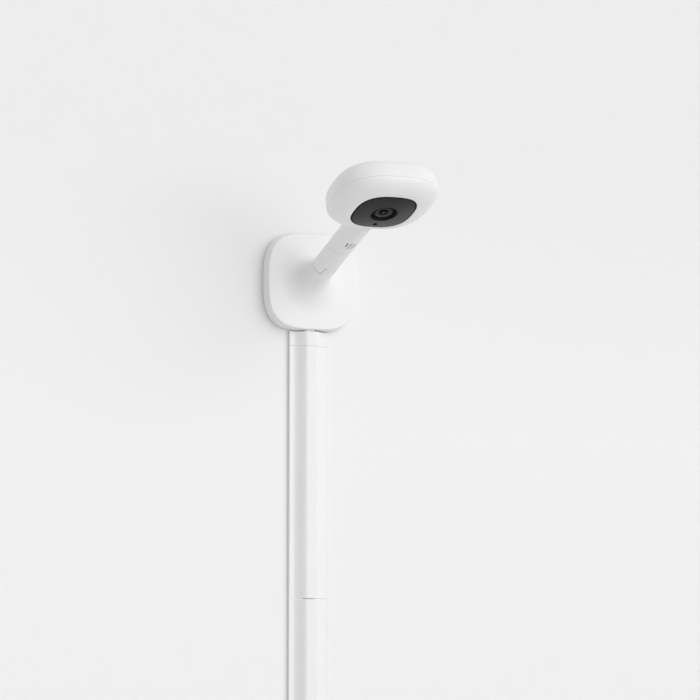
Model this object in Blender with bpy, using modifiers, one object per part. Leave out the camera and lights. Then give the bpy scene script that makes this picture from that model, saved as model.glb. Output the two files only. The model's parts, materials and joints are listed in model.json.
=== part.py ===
"""Wall-mounted baby monitor camera with its wall plate, plug-in stem, tilting head and cable raceway.

The origin is the middle of the wall plate's back. +X is to the right as the plate is faced, +Y goes into
the wall and +Z is up. Sizes are in millimetres and become metres when a mesh is made.
"""

import math

import bmesh
import bpy
from mathutils import Matrix, Vector

MM = 0.001

# Clearances
SEAT = 0.3
SEAM = 0.3
RUNNING = 0.06
SIDE_PLAY = 0.1
PILOT_PLAY = 0.1
HOLE_PLAY = 0.15

# Wall plate
PLATE_HALF = 39.0
PLATE_EXPONENT = 3.2
PLATE_DEPTH = 10.3
PLATE_EDGE_RADIUS = 1.0
PLATE_WALL = 2.0
PLATE_OFF_WALL = 1.0
BRACKET_THICKNESS = 3.0
BRACKET_HOLE_RADIUS = 2.3
BRACKET_HOLE_SPACING = 44.0

# Arm and stem
ARM_RISE_DEG = 20.0
ARM_BASE_Z = 1.5
ARM_RADIUS = 9.6
FLARE_RADIUS = 28.0
FLARE_LENGTH = 18.0
SOCKET_MOUTH = 24.0
SPIGOT_RADIUS = 7.5
SPIGOT_END = 5.0
SPIGOT_END_WALL = 1.5
SLEEVE_BORE_RADIUS = 4.9
SLEEVE_BORE_END = 40.0
SLEEVE_END = 60.0
JOINT_SPIGOT_LENGTH = 6.0
JOINT_SPIGOT_WALL = 1.5
STEM_WALL = 1.6
STEM_END_WALL = 2.9
NECK_GAP = 1.5

# Sound slots under the stem
SLOT_START = 70.3
SLOT_LENGTH = 8.7
SLOT_SHORTER_BY = 1.4
SLOT_WIDTH = 0.8
SLOT_PITCH_DEG = 14.6
SLOT_COUNT = 4

# Release tab
TAB_HALF_ANGLE_DEG = 35.5
TAB_END_HALF_ANGLE_DEG = 29.0
TAB_LENGTH = 11.0
TAB_ROOT_GAP = 0.1
TAB_INNER_FLAT = 7.3
TAB_TRAVEL = 1.0
TAB_SPRING_WIDTH = 3.0
TAB_SPRING_HALF_LENGTH = 3.5
TAB_SPRING_THICKNESS = 0.25

# Power inlet in the plug end
INLET_WIDTH = 8.9
INLET_HEIGHT = 3.2
INLET_LENGTH = 7.3
INLET_WALL = 0.5
INLET_END_WALL = 1.2
INLET_ROUND = 0.7
INLET_BOARD_WIDTH = 7.2
INLET_BOARD_LENGTH = 28.0
INLET_BOARD_THICKNESS = 1.0

# Speaker and wires in the stem
SPEAKER_WIDTH = 10.4
SPEAKER_LENGTH = 15.0
SPEAKER_THICKNESS = 4.0
WIRES_RADIUS = 1.3
WIRES_CLIMB = 10.0
WIRES_STRAIGHT = 2.0

# Neck and tilt joint
PIVOT_FROM_REAR = 12.0
NECK_RADIUS = 4.8
NECK_FLANGE_LENGTH = 3.2
NECK_BORE_RADIUS = 1.7
KNUCKLE_RADIUS = 5.4
KNUCKLE_HALF_WIDTH = 6.9
PIN_RADIUS = 2.0
WASHER_THICKNESS = 0.7
WASHER_RADIUS = 4.8
BRACKET_EAR_THICKNESS = 2.0
BRACKET_EAR_DROP = 5.0
BRACKET_LENGTH = 12.0
BRACKET_APRON = 4.6
BRACKET_TOP_UNDERSIDE = 7.2
BRACKET_TOP_THICKNESS = 1.5
TILT_DEG = 12.0
NECK_SLOT_PLAY = 0.6

# Head
HEAD_FROM_BASE = 137.35
HEAD_HALF_WIDTH = 40.6
HEAD_HALF_LENGTH = 36.3
HEAD_EXPONENT = 2.68
HEAD_FORWARD = 1.0
PARTING_BELOW_AXIS = 4.3
TOP_HEIGHT = 19.6
TOP_EXPONENT = 3.67
BOWL_DEPTH = 9.5
BOWL_EXPONENT = 1.67
HEAD_WALL = 1.8
BOWL_INNER_DEPTH = 6.6
CROWN_SHARE = 0.12

# Window, lens and lamps
WINDOW_HALF_WIDTH = 23.2
WINDOW_HALF_LENGTH = 22.8
WINDOW_CROWN = 2.0
WINDOW_BACK = 0.4
WINDOW_THICKNESS = 1.5
WINDOW_RIM = 1.0
WINDOW_INSET = 0.1
LEDGE_WIDTH = 1.5
LEDGE_THICKNESS = 1.2
RECESS_RADIUS = 10.5
RECESS_DEPTH = 2.4
BEZEL_LIP = 0.5
BEZEL_FLOOR = 0.6
LENS_RING_RADIUS = 8.2
LENS_RING_SET_BACK = 0.6
LENS_RING_CHAMFER = 0.5
LENS_RADIUS = 5.4
LENS_EDGE = 2.2
LENS_DOME = 0.9
BARREL_RADIUS = 6.8
BARREL_WALL = 1.8
BARREL_LENGTH = 8.0
HOLDER_SIZE = 18.0
HOLDER_HEIGHT = 7.2
SENSOR_BOARD_SIZE = 22.0
BOARD_THICKNESS = 1.0
LAMP_COUNT = 4
LAMP_RADIUS_FROM_LENS = 16.2
LAMP_SIZE = 3.2
LAMP_THICKNESS = 1.0
DOT_FROM_LENS = 16.9
DOT_RADIUS = 1.8
MICROPHONE_SIZE = 3.0

# Boards and fixings in the top shell
MAIN_BOARD_HALF_WIDTH = 27.0
MAIN_BOARD_FRONT = 28.0
MAIN_BOARD_BACK = 11.0
MAIN_BOARD_THICKNESS = 1.6
MAIN_BOARD_ABOVE_AXIS = 3.0
SPREADER_HALF_WIDTH = 17.5
SPREADER_LENGTH = 30.0
SPREADER_THICKNESS = 1.2
AERIAL_WIDTH = 26.0
AERIAL_LENGTH = 7.0
AERIAL_THICKNESS = 0.4
BOSS_RADIUS = 2.4
SCREW_SHANK_RADIUS = 0.95
SCREW_HEAD_RADIUS = 1.8
SCREW_HEAD_HEIGHT = 1.2
SCREW_BITE = 2.6
SCREW_POINT_SHARE = 0.6
SCREW_RIM_SHARE = 0.6
SCREW_CROWN_SHARE = 0.7
BOARD_SCREW_X = 22.5
BOARD_SCREW_INSET = 4.0
BRACKET_SCREW_X = 5.0
NECK_SCREW_X = 6.25
NECK_SCREW_HEAD_RADIUS = 1.3
NECK_SCREW_SHANK_RADIUS = 0.7
NECK_SCREW_BITE = 1.8

# Raceway
RACEWAY_HALF_WIDTH = 16.8
RACEWAY_DEPTH = 8.3
RACEWAY_FLANGE = 2.6
RACEWAY_OFF_WALL = 0.3
RACEWAY_FRONT_HALF = 3.5
RACEWAY_TOE_HALF = 14.0
RACEWAY_LEAN = 1.1
CHANNEL_HALF = 5.0
CHANNEL_DEPTH = 6.9
STUB_LENGTH = 11.6
COVER_LENGTH = 198.4
TAPE_THICKNESS = 0.6
STRIP_THICKNESS = 1.0

# Places that follow from the sizes above
ARM_RISE = math.radians(ARM_RISE_DEG)
ACROSS = Vector((1, 0, 0))
ALONG = Vector((0, -math.cos(ARM_RISE), math.sin(ARM_RISE)))
ABOVE = Vector((0, math.sin(ARM_RISE), math.cos(ARM_RISE)))
ARM_BASE = Vector((0, -PLATE_DEPTH, ARM_BASE_Z))
HEAD_CENTRE = ARM_BASE + HEAD_FROM_BASE * ALONG

SOCKET_BORE_RADIUS = SPIGOT_RADIUS + SEAT
STEM_BORE_RADIUS = ARM_RADIUS - STEM_WALL
JOINT_SPIGOT_RADIUS = STEM_BORE_RADIUS - SEAT
JOINT_BORE_RADIUS = JOINT_SPIGOT_RADIUS - JOINT_SPIGOT_WALL
HEAD_REAR = HEAD_HALF_LENGTH - HEAD_FORWARD
PIVOT_BACK = HEAD_REAR - PIVOT_FROM_REAR
PIVOT_S = HEAD_FROM_BASE - PIVOT_BACK
SADDLE_RADIUS = PIVOT_FROM_REAR + NECK_GAP
STEM_FACE = PIVOT_S - SADDLE_RADIUS
STEM_INNER_END = STEM_FACE - STEM_END_WALL
FLANGE_TOP = STEM_INNER_END - SEAT
FLANGE_BOTTOM = FLANGE_TOP - NECK_FLANGE_LENGTH
EAR_INNER = KNUCKLE_HALF_WIDTH + WASHER_THICKNESS + 2 * SIDE_PLAY
EAR_OUTER = EAR_INNER + BRACKET_EAR_THICKNESS
BRACKET_TOP = BRACKET_TOP_UNDERSIDE + BRACKET_TOP_THICKNESS

PARTING = -PARTING_BELOW_AXIS
TOP_CREST = PARTING + TOP_HEIGHT
WINDOW_FACE = PARTING - BOWL_DEPTH + WINDOW_INSET
WINDOW_TOP = WINDOW_FACE + WINDOW_THICKNESS
LEDGE_UNDERSIDE = WINDOW_TOP + SEAT
LEDGE_TOP = LEDGE_UNDERSIDE + LEDGE_THICKNESS
LAMP_BOARD_UNDERSIDE = LEDGE_TOP + SEAT
LAMP_BOARD_TOP = LAMP_BOARD_UNDERSIDE + BOARD_THICKNESS
BARREL_BOTTOM = LAMP_BOARD_UNDERSIDE - SEAT
HOLDER_BOTTOM = LAMP_BOARD_TOP + SEAT
HOLDER_TOP = HOLDER_BOTTOM + HOLDER_HEIGHT
SENSOR_BOARD_UNDERSIDE = HOLDER_TOP + SEAT
MAIN_BOARD_TOP = MAIN_BOARD_ABOVE_AXIS + MAIN_BOARD_THICKNESS
STUB_TOP = -PLATE_HALF - SEAM
UPPER_SEAM = -PLATE_HALF - STUB_LENGTH
LOWER_SEAM = UPPER_SEAM - COVER_LENGTH

# Fineness of round shapes
ROUND = 2.0
RING_POINTS = 56
ROUND_STEPS = 36
PIN_STEPS = 24
SMALL_STEPS = 12
KNUCKLE_STEPS = 40
SADDLE_STEPS = 96
EDGE_STEPS = 4
FLARE_STEPS = 14
FLANK_STEPS = 12
SPRING_STEPS = 8
CROWN_STEPS = 5
DOME_STEPS = 6
TOP_STEPS = 10
BOWL_STEPS = 9
INNER_STEPS = 7
SMOOTH_ANGLE = math.radians(32)
WELD = 0.00001
CUT_PAST = 1.0


def frame(x_axis, y_axis, z_axis, origin):
    """Matrix of a local frame whose axes and origin are given in the object's frame, in millimetres."""
    matrix = Matrix((x_axis, y_axis, z_axis)).transposed().to_4x4()
    matrix.translation = origin * MM
    return matrix


WALL = Matrix.Identity(4)
# In the arm's frame X is across, Y is square to the arm on its upper side and Z runs out along the arm.
ARM = frame(ACROSS, ABOVE, ALONG, ARM_BASE)
# In the head's frame X is across, Y points back along the stem and Z is square to the head, upwards.
HEAD = frame(ACROSS, -ALONG, ABOVE, HEAD_CENTRE)


def shift(x=0.0, y=0.0, z=0.0):
    return Matrix.Translation(Vector((x, y, z)) * MM)


TURN_TO_X = Matrix.Rotation(math.pi / 2, 4, "Y")
TURN_TO_Y = Matrix.Rotation(-math.pi / 2, 4, "X")


def empty_scene():
    for old in list(bpy.data.objects):
        bpy.data.objects.remove(old)


def collection(name):
    made = bpy.data.collections.new(name)
    bpy.context.scene.collection.children.link(made)
    return made


empty_scene()
PARTS = collection("baby_monitor_camera")
CUTTERS = collection("cutters")


def material(name, colour, roughness, metallic=0.0):
    made = bpy.data.materials.new(name)
    made.use_nodes = True
    shader = made.node_tree.nodes["Principled BSDF"]
    shader.inputs["Base Color"].default_value = (*colour, 1.0)
    shader.inputs["Roughness"].default_value = roughness
    shader.inputs["Metallic"].default_value = metallic
    return made


WHITE = (0.86, 0.86, 0.85)
BLACK = (0.012, 0.012, 0.013)
GREEN = (0.02, 0.13, 0.07)
STEEL = (0.55, 0.56, 0.57)


def axis_empty(name, matrix):
    """An empty on a joint's axis, the parent of the pieces that the joint carries."""
    made = bpy.data.objects.new(name, None)
    made.empty_display_size = 0.01
    made.matrix_basis = matrix
    PARTS.objects.link(made)
    return made


def own(obj, matrix, finish=None, parent=None):
    """Places an object, and gives it a finish of its own and a parent."""
    obj.matrix_basis = matrix
    if parent:
        obj.parent = parent
        obj.matrix_parent_inverse = parent.matrix_basis.inverted()
    if finish:
        colour, roughness, *metallic = finish
        obj.data.materials.append(material(obj.name, colour, roughness, *metallic))
    return obj


def mesh_object(name, mesh, smooth=True):
    if smooth:
        mesh.shade_smooth()
        mesh.set_sharp_from_angle(angle=SMOOTH_ANGLE)
    made = bpy.data.objects.new(name, mesh)
    PARTS.objects.link(made)
    return made


def superellipse(half_x, half_y, exponent, centre_y=0.0):
    """Points round a rounded rectangle, as pairs."""
    points = []
    for k in range(RING_POINTS):
        turn = 2 * math.pi * k / RING_POINTS
        c = math.cos(turn)
        s = math.sin(turn)
        x = half_x * math.copysign(abs(c) ** (2 / exponent), c)
        y = half_y * math.copysign(abs(s) ** (2 / exponent), s)
        points.append((x, y + centre_y))
    return points


def loft(name, rings, closed=False):
    """Skins rings of equal point count. Its ends are capped, or meet when it is closed like a tyre."""
    build = bmesh.new()
    made = []
    for ring in rings:
        made.append([build.verts.new(Vector(point) * MM) for point in ring])
    count = len(made[0])
    pairs = list(zip(made, made[1:]))
    if closed:
        pairs.append((made[-1], made[0]))
    else:
        build.faces.new(made[0])
        build.faces.new(made[-1])
    for low, high in pairs:
        for k in range(count):
            after = (k + 1) % count
            build.faces.new((low[k], low[after], high[after], high[k]))
    bmesh.ops.recalc_face_normals(build, faces=build.faces)
    mesh = bpy.data.meshes.new(name)
    build.to_mesh(mesh)
    build.free()
    return mesh_object(name, mesh)


def turned(name, profile, steps=ROUND_STEPS, ring=False):
    """A turned piece. Its profile is (radius, height) pairs down the outer side; a ring's goes on inside."""
    mesh = bpy.data.meshes.new(name)
    edges = [(k, k + 1) for k in range(len(profile) - 1)]
    if ring:
        edges.append((len(profile) - 1, 0))
    mesh.from_pydata([(radius * MM, 0, height * MM) for radius, height in profile], edges, [])
    made = mesh_object(name, mesh, smooth=False)
    screw = made.modifiers.new("turn", "SCREW")
    screw.steps = steps
    screw.render_steps = steps
    screw.use_merge_vertices = True
    screw.merge_threshold = WELD
    screw.use_smooth_shade = False
    return made


def rod(name, radius, low, high, steps=ROUND_STEPS):
    return turned(name, [(0, high), (radius, high), (radius, low), (0, low)], steps)


def washer(name, outer, inner, low, high, steps=ROUND_STEPS):
    return turned(name, [(outer, high), (outer, low), (inner, low), (inner, high)], steps, ring=True)


def block(name, size, bevel=0.0):
    """A box about its own middle, with its edges rounded where a bevel is given."""
    build = bmesh.new()
    bmesh.ops.create_cube(build, size=1.0)
    bmesh.ops.scale(build, vec=Vector(size) * MM, verts=build.verts)
    mesh = bpy.data.meshes.new(name)
    build.to_mesh(mesh)
    build.free()
    made = mesh_object(name, mesh, smooth=False)
    if bevel:
        rounding = made.modifiers.new("round", "BEVEL")
        rounding.width = bevel * MM
        rounding.segments = 2
    return made


def slab(name, outlines, thickness):
    """A flat piece of even thickness about its local XY plane; outlines after the first are holes."""
    curve = bpy.data.curves.new(name, "CURVE")
    curve.dimensions = "2D"
    curve.fill_mode = "BOTH"
    curve.extrude = thickness * MM / 2
    for outline in outlines:
        spline = curve.splines.new("POLY")
        spline.points.add(len(outline) - 1)
        for point, (x, y) in zip(spline.points, outline):
            point.co = (x * MM, y * MM, 0, 1)
        spline.use_cyclic_u = True
    made = bpy.data.objects.new(name, curve)
    PARTS.objects.link(made)
    return made


def solid_slab(name, outlines, thickness):
    """A slab made into a mesh, so that it can be cut or joined."""
    drawn = slab(name, outlines, thickness)
    bpy.context.view_layer.update()
    mesh = bpy.data.meshes.new_from_object(drawn.evaluated_get(bpy.context.evaluated_depsgraph_get()))
    bpy.data.objects.remove(drawn)
    build = bmesh.new()
    build.from_mesh(mesh)
    bmesh.ops.remove_doubles(build, verts=build.verts, dist=WELD)
    build.to_mesh(mesh)
    build.free()
    mesh.name = name
    return mesh_object(name, mesh, smooth=False)


def circle(radius, x=0.0, y=0.0, steps=ROUND_STEPS):
    turns = [2 * math.pi * k / steps for k in range(steps)]
    return [(x + radius * math.cos(t), y + radius * math.sin(t)) for t in turns]


def rectangle(half_x, low_y, high_y):
    return [(-half_x, low_y), (half_x, low_y), (half_x, high_y), (-half_x, high_y)]


def bool_with(obj, other, operation):
    """Cuts or joins with another object, which is kept out of sight among the cutters."""
    PARTS.objects.unlink(other)
    CUTTERS.objects.link(other)
    other.hide_render = True
    other.display_type = "WIRE"
    step = obj.modifiers.new(other.name, "BOOLEAN")
    step.operation = operation
    step.object = other
    step.solver = "EXACT"


def cut(obj, other):
    bool_with(obj, other, "DIFFERENCE")


def join(obj, other):
    bool_with(obj, other, "UNION")


GLOSS_WHITE = (WHITE, 0.25)
MATTE_WHITE = (WHITE, 0.5)
SATIN_BLACK = (BLACK, 0.35)
GLOSS_BLACK = (BLACK, 0.15)
BOARD_GREEN = (GREEN, 0.5)
BARE_STEEL = (STEEL, 0.3, 1.0)
PLATED_STEEL = (STEEL, 0.4, 1.0)
PLAIN_ALUMINIUM = ((0.75, 0.75, 0.76), 0.35, 1.0)
FOAM_TAPE = ((0.7, 0.7, 0.66), 0.8)
WIRE_SHEATH = ((0.08, 0.08, 0.09), 0.6)
SMOKED_PANEL = ((0.03, 0.03, 0.033), 0.12)
LENS_GLASS = ((0.02, 0.022, 0.03), 0.03)
CLEAR_LAMP = ((0.5, 0.48, 0.4), 0.3)
COPPER_FILM = ((0.3, 0.17, 0.05), 0.5)
FRICTION_RUBBER = ((0.06, 0.06, 0.06), 0.7)


# Wall plate

def arm_ring(along, radius):
    """A circle round the arm's axis, in the object's frame."""
    points = []
    for x, y in superellipse(radius, radius, ROUND):
        points.append(ARM_BASE + x * ACROSS + y * ABOVE + along * ALONG)
    return points


def flare_ring(share):
    """A ring of the plate's trumpet, part of the way from its rim on the plate's face to the arm's round.

    Each point runs on a parabola that is tangent to the face at one end and to the arm at the other.
    """
    points = []
    for x, y in superellipse(1.0, 1.0, ROUND):
        rim = Vector((x * FLARE_RADIUS, -PLATE_DEPTH, y * FLARE_RADIUS))
        end = ARM_BASE + ARM_RADIUS * (x * ACROSS + y * ABOVE) + FLARE_LENGTH * ALONG
        root = end - ALONG * ((end.y + PLATE_DEPTH) / ALONG.y)
        points.append((1 - share) ** 2 * rim + 2 * share * (1 - share) * root + share ** 2 * end)
    return points


def plate_ring(inset, depth):
    half = PLATE_HALF - inset
    return [(x, -depth, z) for x, z in superellipse(half, half, PLATE_EXPONENT)]


def bore_root_ring(depth):
    """The socket's bore where it breaks through the plate's inner face."""
    points = []
    for x, y in superellipse(SOCKET_BORE_RADIUS, SOCKET_BORE_RADIUS, ROUND):
        start = ARM_BASE + x * ACROSS + y * ABOVE
        points.append(start + ALONG * ((start.y + depth) / math.cos(ARM_RISE)))
    return points


def make_mount_cover():
    rings = [plate_ring(0, PLATE_OFF_WALL), plate_ring(0, PLATE_DEPTH - PLATE_EDGE_RADIUS)]
    for step in range(1, EDGE_STEPS + 1):
        turn = math.pi / 2 * step / EDGE_STEPS
        inset = PLATE_EDGE_RADIUS * (1 - math.cos(turn))
        rings.append(plate_ring(inset, PLATE_DEPTH - PLATE_EDGE_RADIUS * (1 - math.sin(turn))))
    rings += [flare_ring(step / FLARE_STEPS) for step in range(FLARE_STEPS + 1)]
    rings.append(arm_ring(SOCKET_MOUTH, ARM_RADIUS))
    rings.append(arm_ring(SOCKET_MOUTH, SOCKET_BORE_RADIUS))
    rings.append(bore_root_ring(PLATE_DEPTH - PLATE_WALL))
    rings.append(plate_ring(PLATE_WALL + PLATE_EDGE_RADIUS / 2, PLATE_DEPTH - PLATE_WALL))
    rings.append(plate_ring(PLATE_WALL, PLATE_DEPTH - PLATE_WALL - PLATE_EDGE_RADIUS / 2))
    rings.append(plate_ring(PLATE_WALL, PLATE_OFF_WALL))
    cover = own(loft("mount_cover", rings, closed=True), WALL, GLOSS_WHITE)
    notch_depth = CHANNEL_DEPTH - PLATE_OFF_WALL / 2
    notch = block("cable_notch", (2 * CHANNEL_HALF, notch_depth, 4 * PLATE_WALL))
    own(notch, shift(0, -notch_depth / 2 - PLATE_OFF_WALL / 2, -PLATE_HALF + PLATE_WALL / 2))
    cut(cover, notch)


def make_wall_bracket():
    half = PLATE_HALF - PLATE_WALL - SEAT
    holes = [circle(BRACKET_HOLE_RADIUS, side * BRACKET_HOLE_SPACING / 2, 0, SMALL_STEPS) for side in (-1, 1)]
    bracket = slab("wall_bracket", [superellipse(half, half, PLATE_EXPONENT), *holes], BRACKET_THICKNESS)
    own(bracket, shift(0, -BRACKET_THICKNESS / 2, 0) @ TURN_TO_Y, PLATED_STEEL)


# Raceway

def raceway_outline():
    """Half-bell section: a thin toe on the wall sweeps up to a flat front, over the cable channel."""
    rise = RACEWAY_DEPTH - RACEWAY_FLANGE
    right = [(CHANNEL_HALF, RACEWAY_OFF_WALL), (RACEWAY_HALF_WIDTH, RACEWAY_OFF_WALL)]
    right.append((RACEWAY_HALF_WIDTH, RACEWAY_FLANGE))
    for step in range(FLANK_STEPS + 1):
        share = step / FLANK_STEPS
        x = RACEWAY_TOE_HALF + (RACEWAY_FRONT_HALF - RACEWAY_TOE_HALF) * share
        climb = share ** RACEWAY_LEAN
        right.append((x, RACEWAY_FLANGE + rise * climb * climb * (3 - 2 * climb)))
    left = [(-x, depth) for x, depth in reversed(right)]
    return right + left + [(-CHANNEL_HALF, CHANNEL_DEPTH), (CHANNEL_HALF, CHANNEL_DEPTH)]


# Turns a section drawn as across and out from the wall into a length that runs up the wall.
UP_THE_WALL = Matrix(((1, 0, 0, 0), (0, -1, 0, 0), (0, 0, -1, 0), (0, 0, 0, 1)))


def make_raceway_length(name, outline, top, bottom, finish):
    made = slab(name, [outline], top - bottom)
    own(made, shift(0, 0, (top + bottom) / 2) @ UP_THE_WALL, finish)


def make_raceway():
    make_raceway_length("raceway_stub", raceway_outline(), STUB_TOP, UPPER_SEAM + SEAM / 2, GLOSS_WHITE)
    strip_half = CHANNEL_HALF - SEAT
    tape = rectangle(strip_half, 0, TAPE_THICKNESS)
    strip_low = TAPE_THICKNESS + SEAT
    strip = rectangle(strip_half, strip_low, strip_low + STRIP_THICKNESS)
    for place, seam in (("upper", UPPER_SEAM), ("lower", LOWER_SEAM)):
        top = seam - SEAM / 2
        bottom = seam - COVER_LENGTH + SEAM / 2
        make_raceway_length("raceway_cover_" + place, raceway_outline(), top, bottom, GLOSS_WHITE)
        make_raceway_length("raceway_strip_" + place, strip, top, bottom, MATTE_WHITE)
        make_raceway_length("raceway_tape_" + place, tape, top, bottom, FOAM_TAPE)


# Stem

STEM_AXIS = axis_empty("camera_release_axis", ARM @ shift(0, 0, SOCKET_MOUTH))
TAB_AXIS = axis_empty("release_tab_axis", ARM @ shift(0, -ARM_RADIUS, SOCKET_MOUTH + TAB_LENGTH / 2))
HEAD_AXIS = axis_empty("head_tilt_axis", HEAD @ shift(0, PIVOT_BACK, 0))

TAB_FLOOR = TAB_INNER_FLAT - TAB_TRAVEL - SEAT
TAB_MIDDLE = SOCKET_MOUTH + TAB_LENGTH / 2


def tab_wedge(name, inset, low, high, floor):
    """A block with the tab's outline, which narrows away from the socket, from a floor out past the stem."""
    near = ARM_RADIUS * math.sin(math.radians(TAB_HALF_ANGLE_DEG))
    far = ARM_RADIUS * math.sin(math.radians(TAB_END_HALF_ANGLE_DEG))
    rings = []
    for along in (low, high):
        half = near + (far - near) * (along - SOCKET_MOUTH) / TAB_LENGTH - inset
        corners = ((-half, -2 * ARM_RADIUS), (half, -2 * ARM_RADIUS), (half, -floor), (-half, -floor))
        rings.append([(x, y, along) for x, y in corners])
    return own(loft(name, rings), ARM)


def make_stem_sleeve():
    shoulder = SOCKET_MOUTH + SEAM
    profile = [
        (JOINT_SPIGOT_RADIUS, SLEEVE_END + JOINT_SPIGOT_LENGTH),
        (JOINT_SPIGOT_RADIUS, SLEEVE_END - SEAM / 2),
        (ARM_RADIUS, SLEEVE_END - SEAM / 2),
        (ARM_RADIUS, shoulder),
        (SPIGOT_RADIUS, shoulder),
        (SPIGOT_RADIUS, SPIGOT_END),
        (0, SPIGOT_END),
        (0, SPIGOT_END + SPIGOT_END_WALL),
        (SLEEVE_BORE_RADIUS, SPIGOT_END + SPIGOT_END_WALL),
        (SLEEVE_BORE_RADIUS, SLEEVE_BORE_END),
        (JOINT_BORE_RADIUS, SLEEVE_BORE_END),
        (JOINT_BORE_RADIUS, SLEEVE_END + JOINT_SPIGOT_LENGTH),
    ]
    sleeve = own(turned("stem_sleeve", profile, ring=True), ARM, GLOSS_WHITE, STEM_AXIS)
    cut(sleeve, tab_wedge("tab_pocket", 0, SOCKET_MOUTH - SEAM, SOCKET_MOUTH + TAB_LENGTH, TAB_FLOOR))
    mouth = block("inlet_mouth", (INLET_WIDTH + SEAT, INLET_HEIGHT + SEAT, 3 * SPIGOT_END_WALL))
    own(mouth, ARM @ shift(0, 0, SPIGOT_END + SPIGOT_END_WALL / 2))
    cut(sleeve, mouth)


def make_stem_tube():
    low = SLEEVE_END + SEAM / 2
    profile = [
        (NECK_RADIUS + SEAT, PIVOT_S),
        (ARM_RADIUS, PIVOT_S),
        (ARM_RADIUS, low),
        (STEM_BORE_RADIUS, low),
        (STEM_BORE_RADIUS, STEM_INNER_END),
        (NECK_RADIUS + SEAT, STEM_INNER_END),
    ]
    tube = own(turned("stem_tube", profile, ring=True), ARM, GLOSS_WHITE, STEM_AXIS)
    # The end is hollowed round the tilt axis, so that the head's back swings close to it.
    saddle = rod("stem_saddle", SADDLE_RADIUS, -2 * ARM_RADIUS, 2 * ARM_RADIUS, SADDLE_STEPS)
    own(saddle, ARM @ shift(0, 0, PIVOT_S) @ TURN_TO_X)
    cut(tube, saddle)
    for k in range(SLOT_COUNT):
        place = k - (SLOT_COUNT - 1) / 2
        shorter = SLOT_SHORTER_BY if abs(place) > 1 else 0.0
        slot = block(f"sound_slot_{k + 1}", (SLOT_WIDTH, 3 * STEM_WALL, SLOT_LENGTH - 2 * shorter))
        spin = Matrix.Rotation(math.radians(SLOT_PITCH_DEG * place), 4, "Z")
        own(slot, ARM @ spin @ shift(0, -ARM_RADIUS + STEM_WALL / 2, SLOT_START + SLOT_LENGTH / 2))
        cut(tube, slot)
    for side in (-1, 1):
        start = STEM_INNER_END - CUT_PAST
        end = STEM_INNER_END + NECK_SCREW_BITE
        pilot = rod(f"neck_pilot_{side}", NECK_SCREW_SHANK_RADIUS + PILOT_PLAY, start, end, SMALL_STEPS)
        own(pilot, ARM @ shift(side * NECK_SCREW_X))
        cut(tube, pilot)


def make_release_tab():
    """A piece of the stem's round skin, flat inside, that is pressed in towards the stem's axis."""
    low = SOCKET_MOUTH + TAB_ROOT_GAP
    high = SOCKET_MOUTH + TAB_LENGTH - SEAM
    tab = own(rod("release_tab", ARM_RADIUS, low, high), ARM, GLOSS_WHITE, TAB_AXIS)
    keep = tab_wedge("tab_outline", SEAM, low - CUT_PAST, high + CUT_PAST, TAB_INNER_FLAT)
    bool_with(tab, keep, "INTERSECT")


def make_tab_spring():
    """A shallow bowed leaf between the pocket's floor and the tab."""
    floor = -TAB_FLOOR - SEAT / 2
    crest = -TAB_INNER_FLAT + SEAT / 2 + TAB_SPRING_THICKNESS
    under = []
    over = []
    for step in range(SPRING_STEPS + 1):
        share = 2 * step / SPRING_STEPS - 1
        level = floor + (crest - floor) * math.cos(share * math.pi / 2)
        under.append((share * TAB_SPRING_HALF_LENGTH, level))
        over.append((share * TAB_SPRING_HALF_LENGTH, level - TAB_SPRING_THICKNESS))
    spring = slab("tab_spring", [under + over[::-1]], TAB_SPRING_WIDTH)
    # Drawn as along the arm and above its axis, and laid across the arm.
    lay = Matrix(((0, 0, 1, 0), (0, 1, 0, 0), (1, 0, 0, 0), (0, 0, 0, 1)))
    turn = lay @ Matrix.Scale(-1, 4, Vector((0, 0, 1)))
    own(spring, ARM @ shift(0, 0, TAB_MIDDLE) @ turn, BARE_STEEL, STEM_AXIS)


def make_inlet():
    inner_start = SPIGOT_END + SPIGOT_END_WALL + SEAT
    inlet = block("power_inlet", (INLET_WIDTH, INLET_HEIGHT, INLET_LENGTH), INLET_ROUND)
    inlet_low = SPIGOT_END + SEAT
    own(inlet, ARM @ shift(0, 0, inlet_low + INLET_LENGTH / 2), BARE_STEEL, STEM_AXIS)
    hollow_size = (INLET_WIDTH - 2 * INLET_WALL, INLET_HEIGHT - 2 * INLET_WALL, INLET_LENGTH)
    hollow = block("inlet_hollow", hollow_size, INLET_ROUND / 2)
    own(hollow, ARM @ shift(0, 0, inlet_low + INLET_LENGTH / 2 - INLET_END_WALL))
    cut(inlet, hollow)
    board = block("inlet_board", (INLET_BOARD_WIDTH, INLET_BOARD_THICKNESS, INLET_BOARD_LENGTH))
    level = -INLET_HEIGHT / 2 - SEAT - INLET_BOARD_THICKNESS / 2
    own(board, ARM @ shift(0, level, inner_start + INLET_BOARD_LENGTH / 2), BOARD_GREEN, STEM_AXIS)


def make_speaker():
    # Its lower corners rest in the stem's bore.
    drop = math.sqrt((STEM_BORE_RADIUS - SEAT) ** 2 - (SPEAKER_WIDTH / 2) ** 2)
    speaker = block("speaker_module", (SPEAKER_WIDTH, SPEAKER_THICKNESS, SPEAKER_LENGTH))
    middle = SLOT_START + SLOT_LENGTH / 2
    own(speaker, ARM @ shift(0, -drop + SPEAKER_THICKNESS / 2, middle), SATIN_BLACK, STEM_AXIS)


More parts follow.
